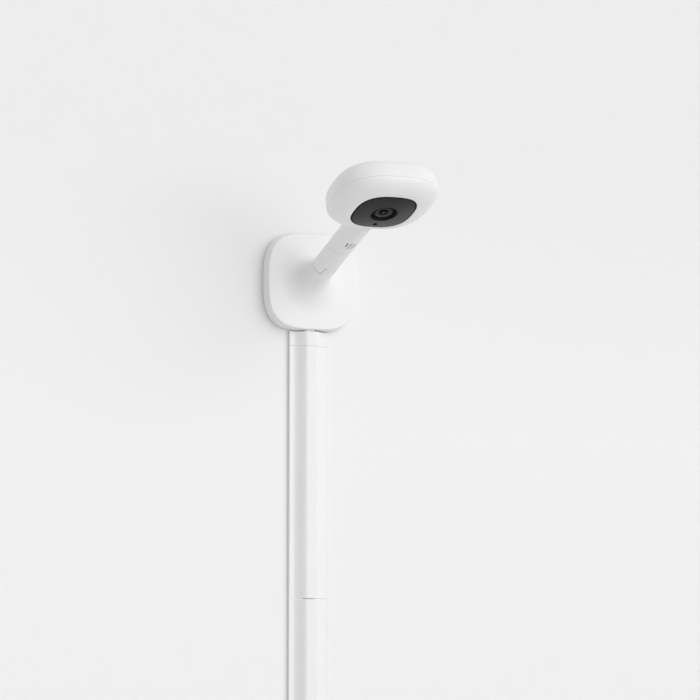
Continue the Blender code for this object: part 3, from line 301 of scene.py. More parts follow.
class Shader:
    """A Principled material with short helpers for its texture nodes."""

    def __init__(self, name):
        self.material = bpy.data.materials.new(name)
        self.material.use_nodes = True
        self.tree = self.material.node_tree
        self.main = self.tree.nodes["Principled BSDF"]
        self.place = self.add("ShaderNodeTexCoord").outputs["Object"]

    def add(self, kind, **settings):
        node = self.tree.nodes.new(kind)
        for key, value in settings.items():
            setattr(node, key, value)
        return node

    def link(self, source, target):
        self.tree.links.new(source, target)

    def set(self, **values):
        for key, value in values.items():
            socket = key.replace("_", " ").title().replace("Ior", "IOR")
            self.main.inputs[socket].default_value = value

    def stretched(self, scale):
        mapping = self.add("ShaderNodeMapping")
        mapping.inputs["Scale"].default_value = scale
        self.link(self.place, mapping.inputs["Vector"])
        return mapping.outputs["Vector"]

    def noise(self, scale, detail=3.0, vector=None):
        node = self.add("ShaderNodeTexNoise")
        node.inputs["Scale"].default_value = scale
        node.inputs["Detail"].default_value = detail
        node.inputs["Roughness"].default_value = NOISE_ROUGHNESS
        self.link(vector or self.place, node.inputs["Vector"])
        return node.outputs["Fac"]

    def ramp(self, value, stops):
        node = self.add("ShaderNodeValToRGB")
        band = node.color_ramp
        while len(band.elements) < len(stops):
            band.elements.new(0.5)
        for element, (position, colour) in zip(band.elements, stops):
            element.position = position
            element.color = (*colour, 1.0)
        self.link(value, node.inputs["Fac"])
        return node.outputs["Color"]

    def span(self, value, low, high):
        node = self.add("ShaderNodeMapRange")
        node.inputs["To Min"].default_value = low
        node.inputs["To Max"].default_value = high
        self.link(value, node.inputs["Value"])
        return node.outputs["Result"]

    def bump(self, height, depth, strength):
        node = self.add("ShaderNodeBump")
        node.inputs["Strength"].default_value = strength
        node.inputs["Distance"].default_value = depth
        self.link(height, node.inputs["Height"])
        self.link(node.outputs["Normal"], self.main.inputs["Normal"])

    def colour(self, socket):
        self.link(socket, self.main.inputs["Base Color"])

    def roughness(self, socket):
        self.link(socket, self.main.inputs["Roughness"])

    def clouds(self, scale, dark, light):
        """Soft clouds between two tones."""
        self.colour(self.ramp(self.noise(scale, CLOUD_DETAIL), [(0.3, dark), (0.7, light)]))

    def gloss(self, scale, low, high):
        """A gloss that wanders between two roughnesses."""
        self.roughness(self.span(self.noise(scale, GLOSS_DETAIL), low, high))

    def grain(self, scale, depth, strength):
        """The fine grain of a moulded skin."""
        self.bump(self.noise(scale, GRAIN_DETAIL), depth, strength)


def moulded(name, light, dark, rough, scale=GRAIN_SCALE, depth=GRAIN_DEPTH, specular=0.5):
    """Moulded plastic: faint cloudy tone, uneven gloss and a fine moulding grain."""
    made = Shader(name)
    made.clouds(CLOUD_SCALE, dark, light)
    made.gloss(GLOSS_SCALE, *rough)
    made.grain(scale, depth, strength=0.25)
    made.set(ior=PLASTIC_IOR, specular_ior_level=specular)
    return made.material


def ringed(name, bands, rough):
    """Bands round the piece's own axis, each a tone from a radius in millimetres on."""
    made = Shader(name)
    flat = made.add("ShaderNodeVectorMath", operation="MULTIPLY")
    flat.inputs[1].default_value = (1.0, 1.0, 0.0)
    made.link(made.place, flat.inputs[0])
    size = made.add("ShaderNodeVectorMath", operation="LENGTH")
    made.link(flat.outputs["Vector"], size.inputs[0])
    share = made.add("ShaderNodeMath", operation="DIVIDE")
    share.inputs[1].default_value = RECESS_RADIUS * MM
    made.link(size.outputs["Value"], share.inputs[0])
    stops = [(0.0, bands[0][1])]
    for (_, before), (radius, after) in zip(bands, bands[1:]):
        stops.append(((radius - BAND_BLUR) / RECESS_RADIUS, before))
        stops.append(((radius + BAND_BLUR) / RECESS_RADIUS, after))
    made.colour(made.ramp(share.outputs["Value"], stops))
    made.gloss(GLOSS_SCALE, *rough)
    return made


def ringed_black(name):
    """A machined lens ring: soot black, with a painted reflection that greys its inner edge."""
    bands = [(0.0, SOOT_DARK), (LENS_RADIUS, PAINTED_REFLECTION_GREY), (PAINTED_REFLECTION_END, SOOT_LIGHT)]
    made = ringed(name, bands, rough=(0.3, 0.42))
    made.grain(GRAIN_SCALE, GRAIN_DEPTH, strength=0.2)
    made.set(ior=PLASTIC_IOR, specular_ior_level=0.04)
    return made.material


def lens_glass(name):
    """Coated front lens: a painted glint in the black pupil, and a painted reflection that greys its
    rim.
    """
    bands = [(0.0, GLINT), (GLINT_RADIUS, PUPIL_BLACK), (PUPIL_RADIUS, PAINTED_REFLECTION_GREY)]
    bands.append((LENS_RADIUS - BAND_BLUR, SOOT_DARK))
    made = ringed(name, bands, rough=(0.02, 0.05))
    made.set(ior=PLASTIC_IOR, specular_ior_level=0.01, coat_weight=0.01, coat_roughness=0.04)
    return made.material


def brushed(name, light, dark, rough):
    """Plated or brushed metal with fine drawn lines."""
    made = Shader(name)
    lines = made.noise(scale=1.0, detail=BRUSH_DETAIL, vector=made.stretched(BRUSH_STRETCH))
    made.colour(made.ramp(lines, [(0.25, dark), (0.75, light)]))
    made.roughness(made.span(lines, *rough))
    made.bump(lines, GRAIN_DEPTH, strength=0.3)
    made.set(metallic=1.0)
    return made.material


def circuit_board(name):
    """Solder mask with the lighter lines of its tracks."""
    made = Shader(name)
    tracks = made.add("ShaderNodeTexBrick", offset=0.37, squash=0.6)
    tracks.inputs["Scale"].default_value = 260.0
    tracks.inputs["Mortar Size"].default_value = 0.03
    tracks.inputs["Color1"].default_value = (*MASK_DARK, 1.0)
    tracks.inputs["Color2"].default_value = (*MASK_LIGHT, 1.0)
    tracks.inputs["Mortar"].default_value = (*TRACK_GREEN, 1.0)
    made.link(made.place, tracks.inputs["Vector"])
    made.colour(tracks.outputs["Color"])
    made.roughness(made.span(made.noise(scale=300.0), low=0.3, high=0.5))
    made.bump(tracks.outputs["Fac"], depth=0.00003, strength=0.4)
    return made.material


def foam(name, light, dark):
    """Matt foam with open cells."""
    made = Shader(name)
    cells = made.add("ShaderNodeTexVoronoi")
    cells.inputs["Scale"].default_value = 2400.0
    made.link(made.place, cells.inputs["Vector"])
    made.colour(made.ramp(cells.outputs["Distance"], [(0.0, dark), (0.7, light)]))
    made.roughness(made.span(cells.outputs["Distance"], low=0.75, high=0.95))
    made.bump(cells.outputs["Distance"], depth=0.0001, strength=0.6)
    return made.material


def smoked_window(name):
    """Smoked panel: near black, polished, with a trace of haze."""
    made = Shader(name)
    made.clouds(scale=60.0, dark=SMOKE_DARK, light=SMOKE_LIGHT)
    made.gloss(scale=220.0, low=0.12, high=0.2)
    made.grain(scale=3200.0, depth=0.000004, strength=0.15)
    made.set(ior=1.295)
    return made.material


# The finish of each slot, and one more for the lens bezel. Most are given a light tone, a dark tone
# and a range of roughness.
FINISH = {
    "white_gloss": moulded("white_moulding", WHITE_LIGHT, WHITE_DARK, (0.34, 0.44), specular=0.35),
    "white_matte": moulded("white_extrusion", (0.8, 0.8, 0.79), (0.77, 0.77, 0.76), (0.45, 0.6)),
    "tape_foam": foam("tape_foam", (0.72, 0.72, 0.69), (0.52, 0.52, 0.5)),
    "bracket_steel": brushed("bracket_steel", (0.6, 0.6, 0.61), (0.48, 0.48, 0.49), (0.3, 0.5)),
    "spring_steel": brushed("spring_steel", (0.7, 0.7, 0.71), (0.55, 0.55, 0.56), (0.2, 0.36)),
    "spreader_aluminium": brushed(
        "spreader_aluminium", (0.8, 0.8, 0.81), (0.68, 0.68, 0.69), (0.3, 0.45)),
    "black_satin": moulded(
        "black_satin", SOOT_LIGHT, SOOT_DARK, (0.45, 0.6), COARSE_SCALE, COARSE_DEPTH, specular=0.06),
    "black_gloss": ringed_black("black_gloss"),
    "bezel_black": moulded(
        "bezel_black", BEZEL_LIGHT, BEZEL_DARK, (0.3, 0.45), COARSE_SCALE, specular=0.3),
    "window_smoke": smoked_window("window_smoke"),
    "lens_glass": lens_glass("lens_glass"),
    "board_green": circuit_board("board_green"),
    "lamp_clear": moulded("lamp_clear", (0.55, 0.52, 0.42), (0.45, 0.43, 0.36), (0.12, 0.2)),
    "wire_sheath": moulded("wire_sheath", (0.05, 0.05, 0.055), (0.03, 0.03, 0.033), (0.5, 0.65)),
    "aerial_film": moulded("aerial_film", (0.36, 0.2, 0.06), (0.26, 0.14, 0.04), (0.3, 0.5)),
    "friction_rubber": moulded(
        "friction_rubber", (0.06, 0.06, 0.06), (0.035, 0.035, 0.035), (0.65, 0.85)),
}
# Their bands need the piece's own axis, so these pieces keep their place outside the mesh
RINGED_SLOTS = ("black_gloss", "lens_glass")


def dress_nodes():
    """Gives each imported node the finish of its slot."""
    for entry in frame["record"]["subparts"]:
        mesh = NODES[entry["node"]].data
        mesh.materials.clear()
        mesh.materials.append(FINISH[entry["material_slot"]])


# Shapes

def between(start, end, share):
    """The value that lies a share of the way from start to end."""
    return start + (end - start) * share


def bend(start, corner, end, share):
    """A point of the parabola from start to end that runs towards the corner at both."""
    return (1 - share) ** 2 * start + 2 * share * (1 - share) * corner + share ** 2 * end


def superellipse(half_x, half_y, exponent, centre_y=0.0, count=RING_POINTS):
    """Points of a rounded rectangle, which is squarer the larger its exponent."""
    points = []
    for k in range(count):
        turn = 2 * math.pi * k / count
        c = math.cos(turn)
        s = math.sin(turn)
        x = half_x * math.copysign(abs(c) ** (2 / exponent), c)
        y = half_y * math.copysign(abs(s) ** (2 / exponent), s)
        points.append((x, y + centre_y))
    return points


def circle(radius, count=RING_POINTS):
    return superellipse(radius, radius, ROUND_EXPONENT, count=count)


def rectangle(left, bottom, right, top):
    return [(left, bottom), (right, bottom), (right, top), (left, top)]


def rounded(profile, radius, steps=4):
    """A closed profile with every corner rounded, but by less than half of either side."""
    side_share = 0.45
    out = []
    count = len(profile)
    for k in range(count):
        corner = Vector(profile[k])
        to_last = Vector(profile[k - 1]) - corner
        to_next = Vector(profile[(k + 1) % count]) - corner
        reach = min(radius, to_last.length * side_share, to_next.length * side_share)
        start = corner + to_last.normalized() * reach
        end = corner + to_next.normalized() * reach
        for step in range(steps + 1):
            out.append(tuple(bend(start, corner, end, step / steps)))
    return out


def smooth(mesh):
    mesh.shade_smooth()
    mesh.set_sharp_from_angle(angle=SMOOTH_ANGLE)


def add_object(name, mesh, matrix):
    made = bpy.data.objects.new(name, mesh)
    made.matrix_world = matrix
    bpy.context.scene.collection.objects.link(made)
    return made


def loft(name, rings, matrix, closed=False):
    """Skins rings of equal point count; the ends are capped, or meet when it is closed like a tyre."""
    build = bmesh.new()
    made = []
    for ring in rings:
        made.append([build.verts.new(Vector(point) * MM) for point in ring])
    count = len(made[0])
    pairs = list(zip(made, made[1:]))
    if closed:
        pairs.append((made[-1], made[0]))
    else:
        build.faces.new(made[0])
        build.faces.new(made[-1])
    for low, high in pairs:
        for k in range(count):
            after = (k + 1) % count
            build.faces.new((low[k], low[after], high[after], high[k]))
    bmesh.ops.recalc_face_normals(build, faces=build.faces)
    mesh = bpy.data.meshes.new(name)
    build.to_mesh(mesh)
    build.free()
    smooth(mesh)
    return add_object(name, mesh, matrix)


def turned(name, profile, matrix, ring=False, points=ROUND_POINTS):
    """A turned piece from (radius, height) pairs; where it isn't a ring its ends are capped."""
    rings = []
    for radius, height in profile:
        rings.append([(x, y, height) for x, y in circle(radius, points)])
    return loft(name, rings, matrix, closed=ring)


def prism(name, outline, length, edge, matrix):
    """A flat outline made thick to both sides of its plane, with a small rounding at both ends."""
    middle = Vector((sum(x for x, y in outline), sum(y for x, y in outline))) / len(outline)
    soft = edge * ROUNDING_MIDDLE
    ends = [(edge, 0.0), (soft, soft), (0.0, edge), (0.0, edge + ROUNDING_HOLD)]
    levels = [(inset, inward - length / 2) for inset, inward in ends]
    levels += [(inset, length / 2 - inward) for inset, inward in reversed(ends)]
    rings = []
    for inset, level in levels:
        ring = []
        for x, y in outline:
            away = (Vector((x, y)) - middle).normalized()
            ring.append((x - away.x * inset, y - away.y * inset, level))
        rings.append(ring)
    return loft(name, rings, matrix)


def box_at(name, size, matrix):
    half = Vector(size) / 2
    outline = rectangle(-half.x, -half.y, half.x, half.y)
    rings = [[(x, y, level) for x, y in outline] for level in (-half.z, half.z)]
    return loft(name, rings, matrix)


def cut(obj, cutter):
    """Cuts a piece for good, then removes the cutter."""
    step = obj.modifiers.new("boolean", "BOOLEAN")
    step.operation = "DIFFERENCE"
    step.object = cutter
    step.solver = "EXACT"
    bpy.context.view_layer.update()
    mesh = bpy.data.meshes.new_from_object(obj.evaluated_get(bpy.context.evaluated_depsgraph_get()))
    build = bmesh.new()
    build.from_mesh(mesh)
    bmesh.ops.remove_doubles(build, verts=build.verts, dist=WELD)
    bmesh.ops.dissolve_degenerate(build, dist=WELD, edges=build.edges)
    build.to_mesh(mesh)
    build.free()
    obj.modifiers.clear()
    old = obj.data
    obj.data = mesh
    bpy.data.meshes.remove(old)
    bpy.data.objects.remove(cutter)
    smooth(obj.data)


def settle(obj):
    """Moves a piece's place into its mesh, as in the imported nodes, which keeps its box tight."""
    obj.data.transform(obj.matrix_world)
    obj.matrix_world = Matrix.Identity(4)


def stands_for(obj, node, body, slot, finish=None):
    """Puts a fine piece in a solid's place, with its finish and body."""
    if slot not in RINGED_SLOTS:
        settle(obj)
    obj.data.materials.clear()
    obj.data.materials.append(FINISH[finish or slot])
    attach(obj, body)
    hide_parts(node)


# Wall plate

def plate_ring(inset, depth, exponent=PLATE_EXPONENT):
    half = PLATE_HALF - inset
    return [(x, -depth, z) for x, z in superellipse(half, half, exponent)]


def arm_ring(along, radius):
    return [ARM_BASE + x * ACROSS + y * ABOVE + along * ALONG for x, y in circle(radius)]


def flare_ring(share):
    """A ring of the trumpet; each point runs on a parabola from the plate's face out to the arm."""
    points = []
    for x, y in circle(1.0):
        rim = Vector((x * FLARE_RADIUS, -PLATE_DEPTH, y * FLARE_RADIUS))
        end = ARM_BASE + ARM_RADIUS * (x * ACROSS + y * ABOVE) + FLARE_LENGTH * ALONG
        root = end - ALONG * ((end.y + PLATE_DEPTH) / ALONG.y)
        points.append(bend(rim, root, end, share))
    return points


def bore_root_ring(depth):
    """The ring where the socket's bore meets the plate's inner face."""
    points = []
    for x, y in circle(SOCKET_BORE_RADIUS):
        start = ARM_BASE + x * ACROSS + y * ABOVE
        points.append(start + ALONG * ((start.y + depth) / math.cos(ARM_RISE)))
    return points


def plate_front():
    """Rings up the leaning sides, round the edge and over the face to the flare."""
    rings = [plate_ring(EDGE, PLATE_OFF_WALL), plate_ring(0, PLATE_OFF_WALL + EDGE)]
    rings.append(plate_ring(PLATE_DRAFT, PLATE_DEPTH - PLATE_EDGE_RADIUS))
    edge_steps = 10
    for step in range(1, edge_steps + 1):
        turn = math.pi / 2 * step / edge_steps
        inset = PLATE_DRAFT + PLATE_EDGE_RADIUS * (1 - math.cos(turn))
        rings.append(plate_ring(inset, PLATE_DEPTH - PLATE_EDGE_RADIUS * (1 - math.sin(turn))))
    face_steps = 8
    for step in range(1, face_steps):
        share = step / face_steps
        inset = between(PLATE_DRAFT + PLATE_EDGE_RADIUS, PLATE_HALF - FLARE_RADIUS, share)
        rings.append(plate_ring(inset, PLATE_DEPTH, between(PLATE_EXPONENT, ROUND_EXPONENT, share)))
    return rings


def socket_mouth():
    """Rings round the end of the arm, from its skin into the bore."""
    soft = EDGE * ROUNDING_MIDDLE
    return [
        arm_ring(SOCKET_MOUTH - EDGE, ARM_RADIUS),
        arm_ring(SOCKET_MOUTH - soft, ARM_RADIUS - soft),
        arm_ring(SOCKET_MOUTH, ARM_RADIUS - EDGE),
        arm_ring(SOCKET_MOUTH, SOCKET_BORE_RADIUS + EDGE),
        arm_ring(SOCKET_MOUTH - EDGE, SOCKET_BORE_RADIUS),
    ]


def plate_inside():
    """Rings of the hollow back, from the bore's root to the wall."""
    inner = PLATE_DEPTH - PLATE_WALL
    corner = PLATE_EDGE_RADIUS / 2
    return [
        bore_root_ring(inner),
        plate_ring(PLATE_WALL + corner, inner),
        plate_ring(PLATE_WALL, inner - corner),
        plate_ring(PLATE_WALL, PLATE_OFF_WALL),
    ]


def make_mount_cover():
    """The plate with its flared arm, notched at the bottom for the raceway's channel."""
    flare_steps = 56
    flare = [flare_ring(step / flare_steps) for step in range(flare_steps + 1)]
    rings = plate_front() + flare + socket_mouth() + plate_inside()
    cover = loft("wall_plate", rings, WALL, closed=True)
    notch_depth = CHANNEL_DEPTH - PLATE_OFF_WALL / 2
    notch = (2 * CHANNEL_HALF, notch_depth, 4 * PLATE_WALL)
    place = shift(0, -notch_depth / 2 - PLATE_OFF_WALL / 2, -PLATE_HALF + PLATE_WALL / 2)
    cut(cover, box_at("notch", notch, place))
    stands_for(cover, "mount_cover", "wall_mount", "white_gloss")


# Raceway

def raceway_outline():
    """The covers' section, as points across and out from the wall, with the channel in its back."""
    right = [(CHANNEL_HALF, RACEWAY_OFF_WALL), (RACEWAY_HALF_WIDTH - EDGE, RACEWAY_OFF_WALL)]
    right += [(RACEWAY_HALF_WIDTH, RACEWAY_OFF_WALL + EDGE), (RACEWAY_HALF_WIDTH, RACEWAY_FLANGE - EDGE)]
    right.append((RACEWAY_HALF_WIDTH - EDGE, RACEWAY_FLANGE))
    flank_steps = 28
    for step in range(flank_steps + 1):
        share = step / flank_steps
        climb = share ** RACEWAY_LEAN
        ease = climb * climb * (3 - 2 * climb)
        x = between(RACEWAY_TOE_HALF, RACEWAY_FRONT_HALF, share)
        right.append((x, between(RACEWAY_FLANGE, RACEWAY_DEPTH, ease)))
    left = [(-x, depth) for x, depth in reversed(right)]
    return right + left + [(-CHANNEL_HALF, CHANNEL_DEPTH), (CHANNEL_HALF, CHANNEL_DEPTH)]


def make_raceway():
    """The stub and the two covers, a little longer or shorter than their solids to set the seams."""
    away_from_wall = Matrix.Diagonal((1, -1, -1, 1))
    longer = (SEAM - FINE_SEAM) / 2
    ends = {
        "raceway_stub": (longer, longer),
        "raceway_cover_upper": (SEAM - COVER_SEAM, longer),
        "raceway_cover_lower": (0.0, 0.0),
    }
    for node, (drop, rise) in ends.items():
        low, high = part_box(node)
        bottom = low.z / MM - drop
        top = high.z / MM + rise
        place = shift(0, 0, (bottom + top) / 2) @ away_from_wall
        cover = prism(node + "_skin", raceway_outline(), top - bottom, FINE_EDGE, place)
        stands_for(cover, node, "wall_mount", "white_gloss")


# Stem

def tab_half_angle(along):
    """Half the tab's angle round the stem; the tab narrows away from the socket."""
    return between(TAB_HALF_ANGLE, TAB_END_HALF_ANGLE, (along - SOCKET_MOUTH) / TAB_LENGTH)


def tab_pocket():
    """A tapering cutter with the tab's outline, from the pocket's floor out past the stem's skin."""
    out = 1.5 * ARM_RADIUS
    rings = []
    for along in (SOCKET_MOUTH - SEAM, SOCKET_MOUTH + TAB_LENGTH):
        half = ARM_RADIUS * math.sin(tab_half_angle(along))
        rings.append([(x, y, along) for x, y in rectangle(-half, -out, half, -TAB_FLOOR)])
    return loft("tab_pocket", rings, ARM)


def make_stem_sleeve():
    """The stem's first length: plug end, skin, and the spigot that goes into the second length."""
    joint_end = SLEEVE_END + JOINT_SPIGOT_LENGTH
    skin_end = SLEEVE_END - FINE_SEAM / 2
    shoulder = SOCKET_MOUTH + SOCKET_SEAM
    plug_inside = SPIGOT_END + SPIGOT_END_WALL
    profile = [
        (JOINT_SPIGOT_RADIUS, joint_end),
        (JOINT_SPIGOT_RADIUS, skin_end),
        (ARM_RADIUS, skin_end),
        (ARM_RADIUS, skin_end - ROUNDING_HOLD),
        (ARM_RADIUS, shoulder + ROUNDING_HOLD),
        (ARM_RADIUS, shoulder),
        (SPIGOT_RADIUS, shoulder),
        (SPIGOT_RADIUS, SPIGOT_END),
        (SPIGOT_AXIS_HOLE, SPIGOT_END),
        (SPIGOT_AXIS_HOLE, plug_inside),
        (SLEEVE_BORE_RADIUS, plug_inside),
        (SLEEVE_BORE_RADIUS, SLEEVE_BORE_END),
        (JOINT_BORE_RADIUS, SLEEVE_BORE_END),
        (JOINT_BORE_RADIUS, joint_end),
    ]
    sleeve = turned("stem_sleeve_skin", rounded(profile, FINE_EDGE, steps=3), ARM, ring=True)
    cut(sleeve, tab_pocket())
    mouth = (*INLET_MOUTH, 3 * SPIGOT_END_WALL)
    place = ARM @ shift(0, 0, SPIGOT_END + SPIGOT_END_WALL / 2)
    cut(sleeve, box_at("mouth", mouth, place))
    stands_for(sleeve, "stem_sleeve", "camera_stem", "white_gloss")


def slot_cutter(length, matrix):
    """A long round-ended cutter that passes through the stem's wall."""
    radius = SLOT_WIDTH / 2
    half = length / 2 - radius
    outline = [(x, y + half if y >= 0 else y - half) for x, y in circle(radius, SLOT_POINTS)]
    rings = [[(x, level, y) for x, y in outline] for level in (-SLOT_CUT, SLOT_CUT)]
    return loft("slot", rings, matrix)


def stem_ring(radius, level):
    return [(x, y, level) for x, y in circle(radius)]


def saddle_ring(radius, back):
    """A ring of the stem's end, which is hollowed round the tilt axis, and set back by a little."""
    points = []
    for x, y in circle(radius):
        points.append((x, y, PIVOT_ALONG - math.sqrt(SADDLE_RADIUS ** 2 - y ** 2) - back))
    return points


def make_stem_tube():
    """The stem's second length, with a hollowed end for the head and the sound slots underneath."""
    low = SLEEVE_END + FINE_SEAM / 2
    bore = NECK_RADIUS + SEAT
    soft = EDGE * ROUNDING_MIDDLE
    saddle_steps = 4
    rings = [stem_ring(bore, STEM_INNER_END)]
    for step in range(saddle_steps + 1):
        rings.append(saddle_ring(between(bore, ARM_RADIUS - EDGE, step / saddle_steps), 0))
    rings += [saddle_ring(ARM_RADIUS - soft, soft), saddle_ring(ARM_RADIUS, EDGE)]
    rings += [stem_ring(ARM_RADIUS, level) for level in (STEM_INNER_END, SLOT_START, low + FINE_EDGE)]
    rings += [stem_ring(ARM_RADIUS - FINE_EDGE, low), stem_ring(STEM_BORE_RADIUS, low)]
    rings.append(stem_ring(STEM_BORE_RADIUS, STEM_INNER_END))
    tube = loft("stem_tube_skin", rings, ARM, closed=True)
    for k in range(SLOT_COUNT):
        place = k - (SLOT_COUNT - 1) / 2
        shorter = SLOT_SHORTER_BY if abs(place) > 1 else 0.0
        spin = Matrix.Rotation(SLOT_PITCH * place, 4, "Z")
        seat = ARM @ spin @ shift(0, -ARM_RADIUS, SLOT_START + SLOT_LENGTH / 2)
        cut(tube, slot_cutter(SLOT_LENGTH - 2 * shorter, seat))
    stands_for(tube, "stem_tube", "camera_stem", "white_gloss")


def make_release_tab():
    """A piece of the stem's skin with softened edges and a flat inside."""
    low = SOCKET_MOUTH + TAB_ROOT_GAP
    high = SOCKET_MOUTH + TAB_LENGTH - TAB_SEAM
    stations = [(low, FINE_EDGE), (low + FINE_EDGE, 0), (high - FINE_EDGE, 0), (high, FINE_EDGE)]
    arc_steps = 24
    rings = []
    for along, inset in stations:
        edge_x = ARM_RADIUS * math.sin(tab_half_angle(along)) - TAB_SEAM - inset
        radius = ARM_RADIUS - inset
        half = math.asin(edge_x / radius)
        ring = []
        for step in range(arc_steps + 1):
            turn = -math.pi / 2 - half + 2 * half * step / arc_steps
            ring.append((radius * math.cos(turn), radius * math.sin(turn), along))
        ring += [(edge_x, -TAB_INNER_FLAT - inset, along), (-edge_x, -TAB_INNER_FLAT - inset, along)]
        rings.append(ring)
    tab = loft("release_tab_skin", rings, ARM)
    stands_for(tab, "release_tab", "release_tab", "white_gloss")


def make_tab_spring():
    """The bowed leaf between the pocket's floor and the tab."""
    floor = -TAB_FLOOR - SEAT / 2
    crest = -TAB_INNER_FLAT + SEAT / 2 + SPRING_THICKNESS
    middle = SOCKET_MOUTH + TAB_LENGTH / 2
    half = SPRING_WIDTH / 2
    spring_steps = 32
    rings = []
    for step in range(spring_steps + 1):
        share = 2 * step / spring_steps - 1
        under = between(floor, crest, math.cos(share * math.pi / 2))
        section = rounded(rectangle(-half, under, half, under - SPRING_THICKNESS), FINE_EDGE)
        rings.append([(x, y, middle + share * SPRING_HALF_LENGTH) for x, y in section])
    spring = loft("tab_spring_skin", rings, ARM)
    stands_for(spring, "tab_spring", "camera_stem", "spring_steel")
    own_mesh(spring)


# Head

def head_ring(half_x, half_y, height, centre_y):
    return [(x, y, height) for x, y in superellipse(half_x, half_y, HEAD_EXPONENT, centre_y)]


def parting_rim(height):
    """The edge of a shell at the parting line."""
    return head_ring(HEAD_HALF_WIDTH - FINE_EDGE, HEAD_HALF_LENGTH - FINE_EDGE, height, -HEAD_FORWARD)


def dome_rings(inset, base, crest, steps):
    """Rings of the top shell, from the parting line up to small ones on its crown."""
    sizes = []
    for step in range(steps):
        turn = math.pi / 2 * step / steps
        climb = math.sin(turn) ** (2 / TOP_EXPONENT)
        sizes.append((math.cos(turn) ** (2 / TOP_EXPONENT), between(base, crest, climb)))
    sizes += [(share, crest) for share in CROWN_SHARES]
    rings = []
    for spread, height in sizes:
        half_x = (HEAD_HALF_WIDTH - inset) * spread
        half_y = (HEAD_HALF_LENGTH - inset) * spread
        rings.append(head_ring(half_x, half_y, height, -HEAD_FORWARD))
    return rings


def bowl_rings(inset, mouth_out, top, bottom, steps):
    """Rings of the bottom shell, from the parting line down to the window's mouth."""
    mouth_x = WINDOW_HALF_WIDTH + mouth_out
    mouth_y = WINDOW_HALF_LENGTH + mouth_out
    rings = []
    for step in range(steps + 1):
        turn = math.pi / 2 * step / steps
        spread = abs(math.cos(turn)) ** (2 / BOWL_EXPONENT)
        drop = math.sin(turn) ** (2 / BOWL_EXPONENT)
        half_x = between(mouth_x, HEAD_HALF_WIDTH - inset, spread)
        half_y = between(mouth_y, HEAD_HALF_LENGTH - inset, spread)
        centre_y = between(WINDOW_BACK, -HEAD_FORWARD, spread)
        rings.append(head_ring(half_x, half_y, between(top, bottom, drop), centre_y))
    return rings


def neck_slot():
    """A cutter at the head's rear that leaves the neck room to tilt."""
    reach = PIVOT_FROM_REAR + HEAD_WALL
    swing = reach * math.sin(TILT) + NECK_RADIUS + NECK_SLOT_PLAY
    size = (2 * (NECK_RADIUS + NECK_SLOT_PLAY), 4 * HEAD_WALL, 2 * swing)
    return box_at("neck_slot", size, HEAD @ shift(0, HEAD_REAR - HEAD_WALL))


def make_head_top():
    """The top shell, a hollow dome that is open at the parting line."""
    base = PARTING + FINE_SEAM / 2
    crest = PARTING + TOP_HEIGHT
    outer = dome_rings(0, base + FINE_EDGE, crest, steps=40)
    inner = dome_rings(HEAD_WALL, base, crest - HEAD_WALL, steps=12)
    shell = loft("head_top_skin", outer[::-1] + [parting_rim(base)] + inner, HEAD)
    cut(shell, neck_slot())
    stands_for(shell, "head_top_shell", "camera_head", "white_gloss")


def make_head_bottom():
    """The bottom shell, a hollow bowl with a ledge behind the window's edge."""
    base = PARTING - FINE_SEAM / 2
    bottom = PARTING - BOWL_DEPTH
    outer = bowl_rings(0, WINDOW_RIM, base - FINE_EDGE, bottom, steps=40)
    inner = bowl_rings(HEAD_WALL, -LEDGE_WIDTH, base, base - BOWL_INNER_DEPTH, steps=10)
    mouth = (WINDOW_HALF_WIDTH + WINDOW_GAP, WINDOW_HALF_LENGTH + WINDOW_GAP)
    ledge = (WINDOW_HALF_WIDTH - LEDGE_WIDTH, WINDOW_HALF_LENGTH - LEDGE_WIDTH)
    lip = [
        head_ring(mouth[0] + EDGE, mouth[1] + EDGE, bottom, WINDOW_BACK),
        head_ring(*mouth, bottom + EDGE, WINDOW_BACK),
        head_ring(*mouth, LEDGE_UNDERSIDE, WINDOW_BACK),
        head_ring(*ledge, LEDGE_UNDERSIDE, WINDOW_BACK),
    ]
    rings = [parting_rim(base)] + outer + lip + inner[::-1]
    shell = loft("head_bottom_skin", rings, HEAD, closed=True)
    cut(shell, neck_slot())
    stands_for(shell, "head_bottom_shell", "camera_head", "white_gloss")


# Window and lens

def node_top(node):
    """Highest level of a node above the head's own middle plane, in millimetres."""
    back = HEAD.inverted()
    return max((back @ vertex.co).z for vertex in NODES[node].data.vertices) / MM


def window_ring(share, level):
    """A ring of the window, from its rounded-square edge at share 0 to the round opening at 1."""
    half_x = between(WINDOW_HALF_WIDTH, RECESS_RADIUS, share)
    half_y = between(WINDOW_HALF_LENGTH, RECESS_RADIUS, share)
    exponent = between(HEAD_EXPONENT, ROUND_EXPONENT, share)
    return [(x, y, level) for x, y in superellipse(half_x, half_y, exponent)]


def window_level(out):
    """Level of the window's crowned face at a distance from its middle."""
    return WINDOW_FACE - WINDOW_CROWN * (1 - (out / WINDOW_HALF_WIDTH) ** 2)


def make_window():
    """The crowned panel, with openings for the lens and the sensor dot."""
    rings = [window_ring(0, WINDOW_TOP), window_ring(0, WINDOW_FACE + EDGE)]
    first = EDGE / (WINDOW_HALF_WIDTH - RECESS_RADIUS)
    face_steps = 24
    for step in range(face_steps + 1):
        share = between(first, 1, step / face_steps)
        out = between(WINDOW_HALF_WIDTH, RECESS_RADIUS, share)
        rings.append(window_ring(share, window_level(out)))
    rings.append(window_ring(1, WINDOW_TOP))
    window = loft("window_skin", rings, LENS, closed=True)
    hole_radius = DOT_RADIUS + DOT_PLAY
    past = 1.0
    hole = [(hole_radius, WINDOW_FACE - 2 * WINDOW_CROWN), (hole_radius, WINDOW_TOP + past)]
    cut(window, turned("hole", hole, LENS @ shift(0, DOT_FROM_LENS), points=DOT_POINTS))
    stands_for(window, "window_cover", "camera_head", "window_smoke")


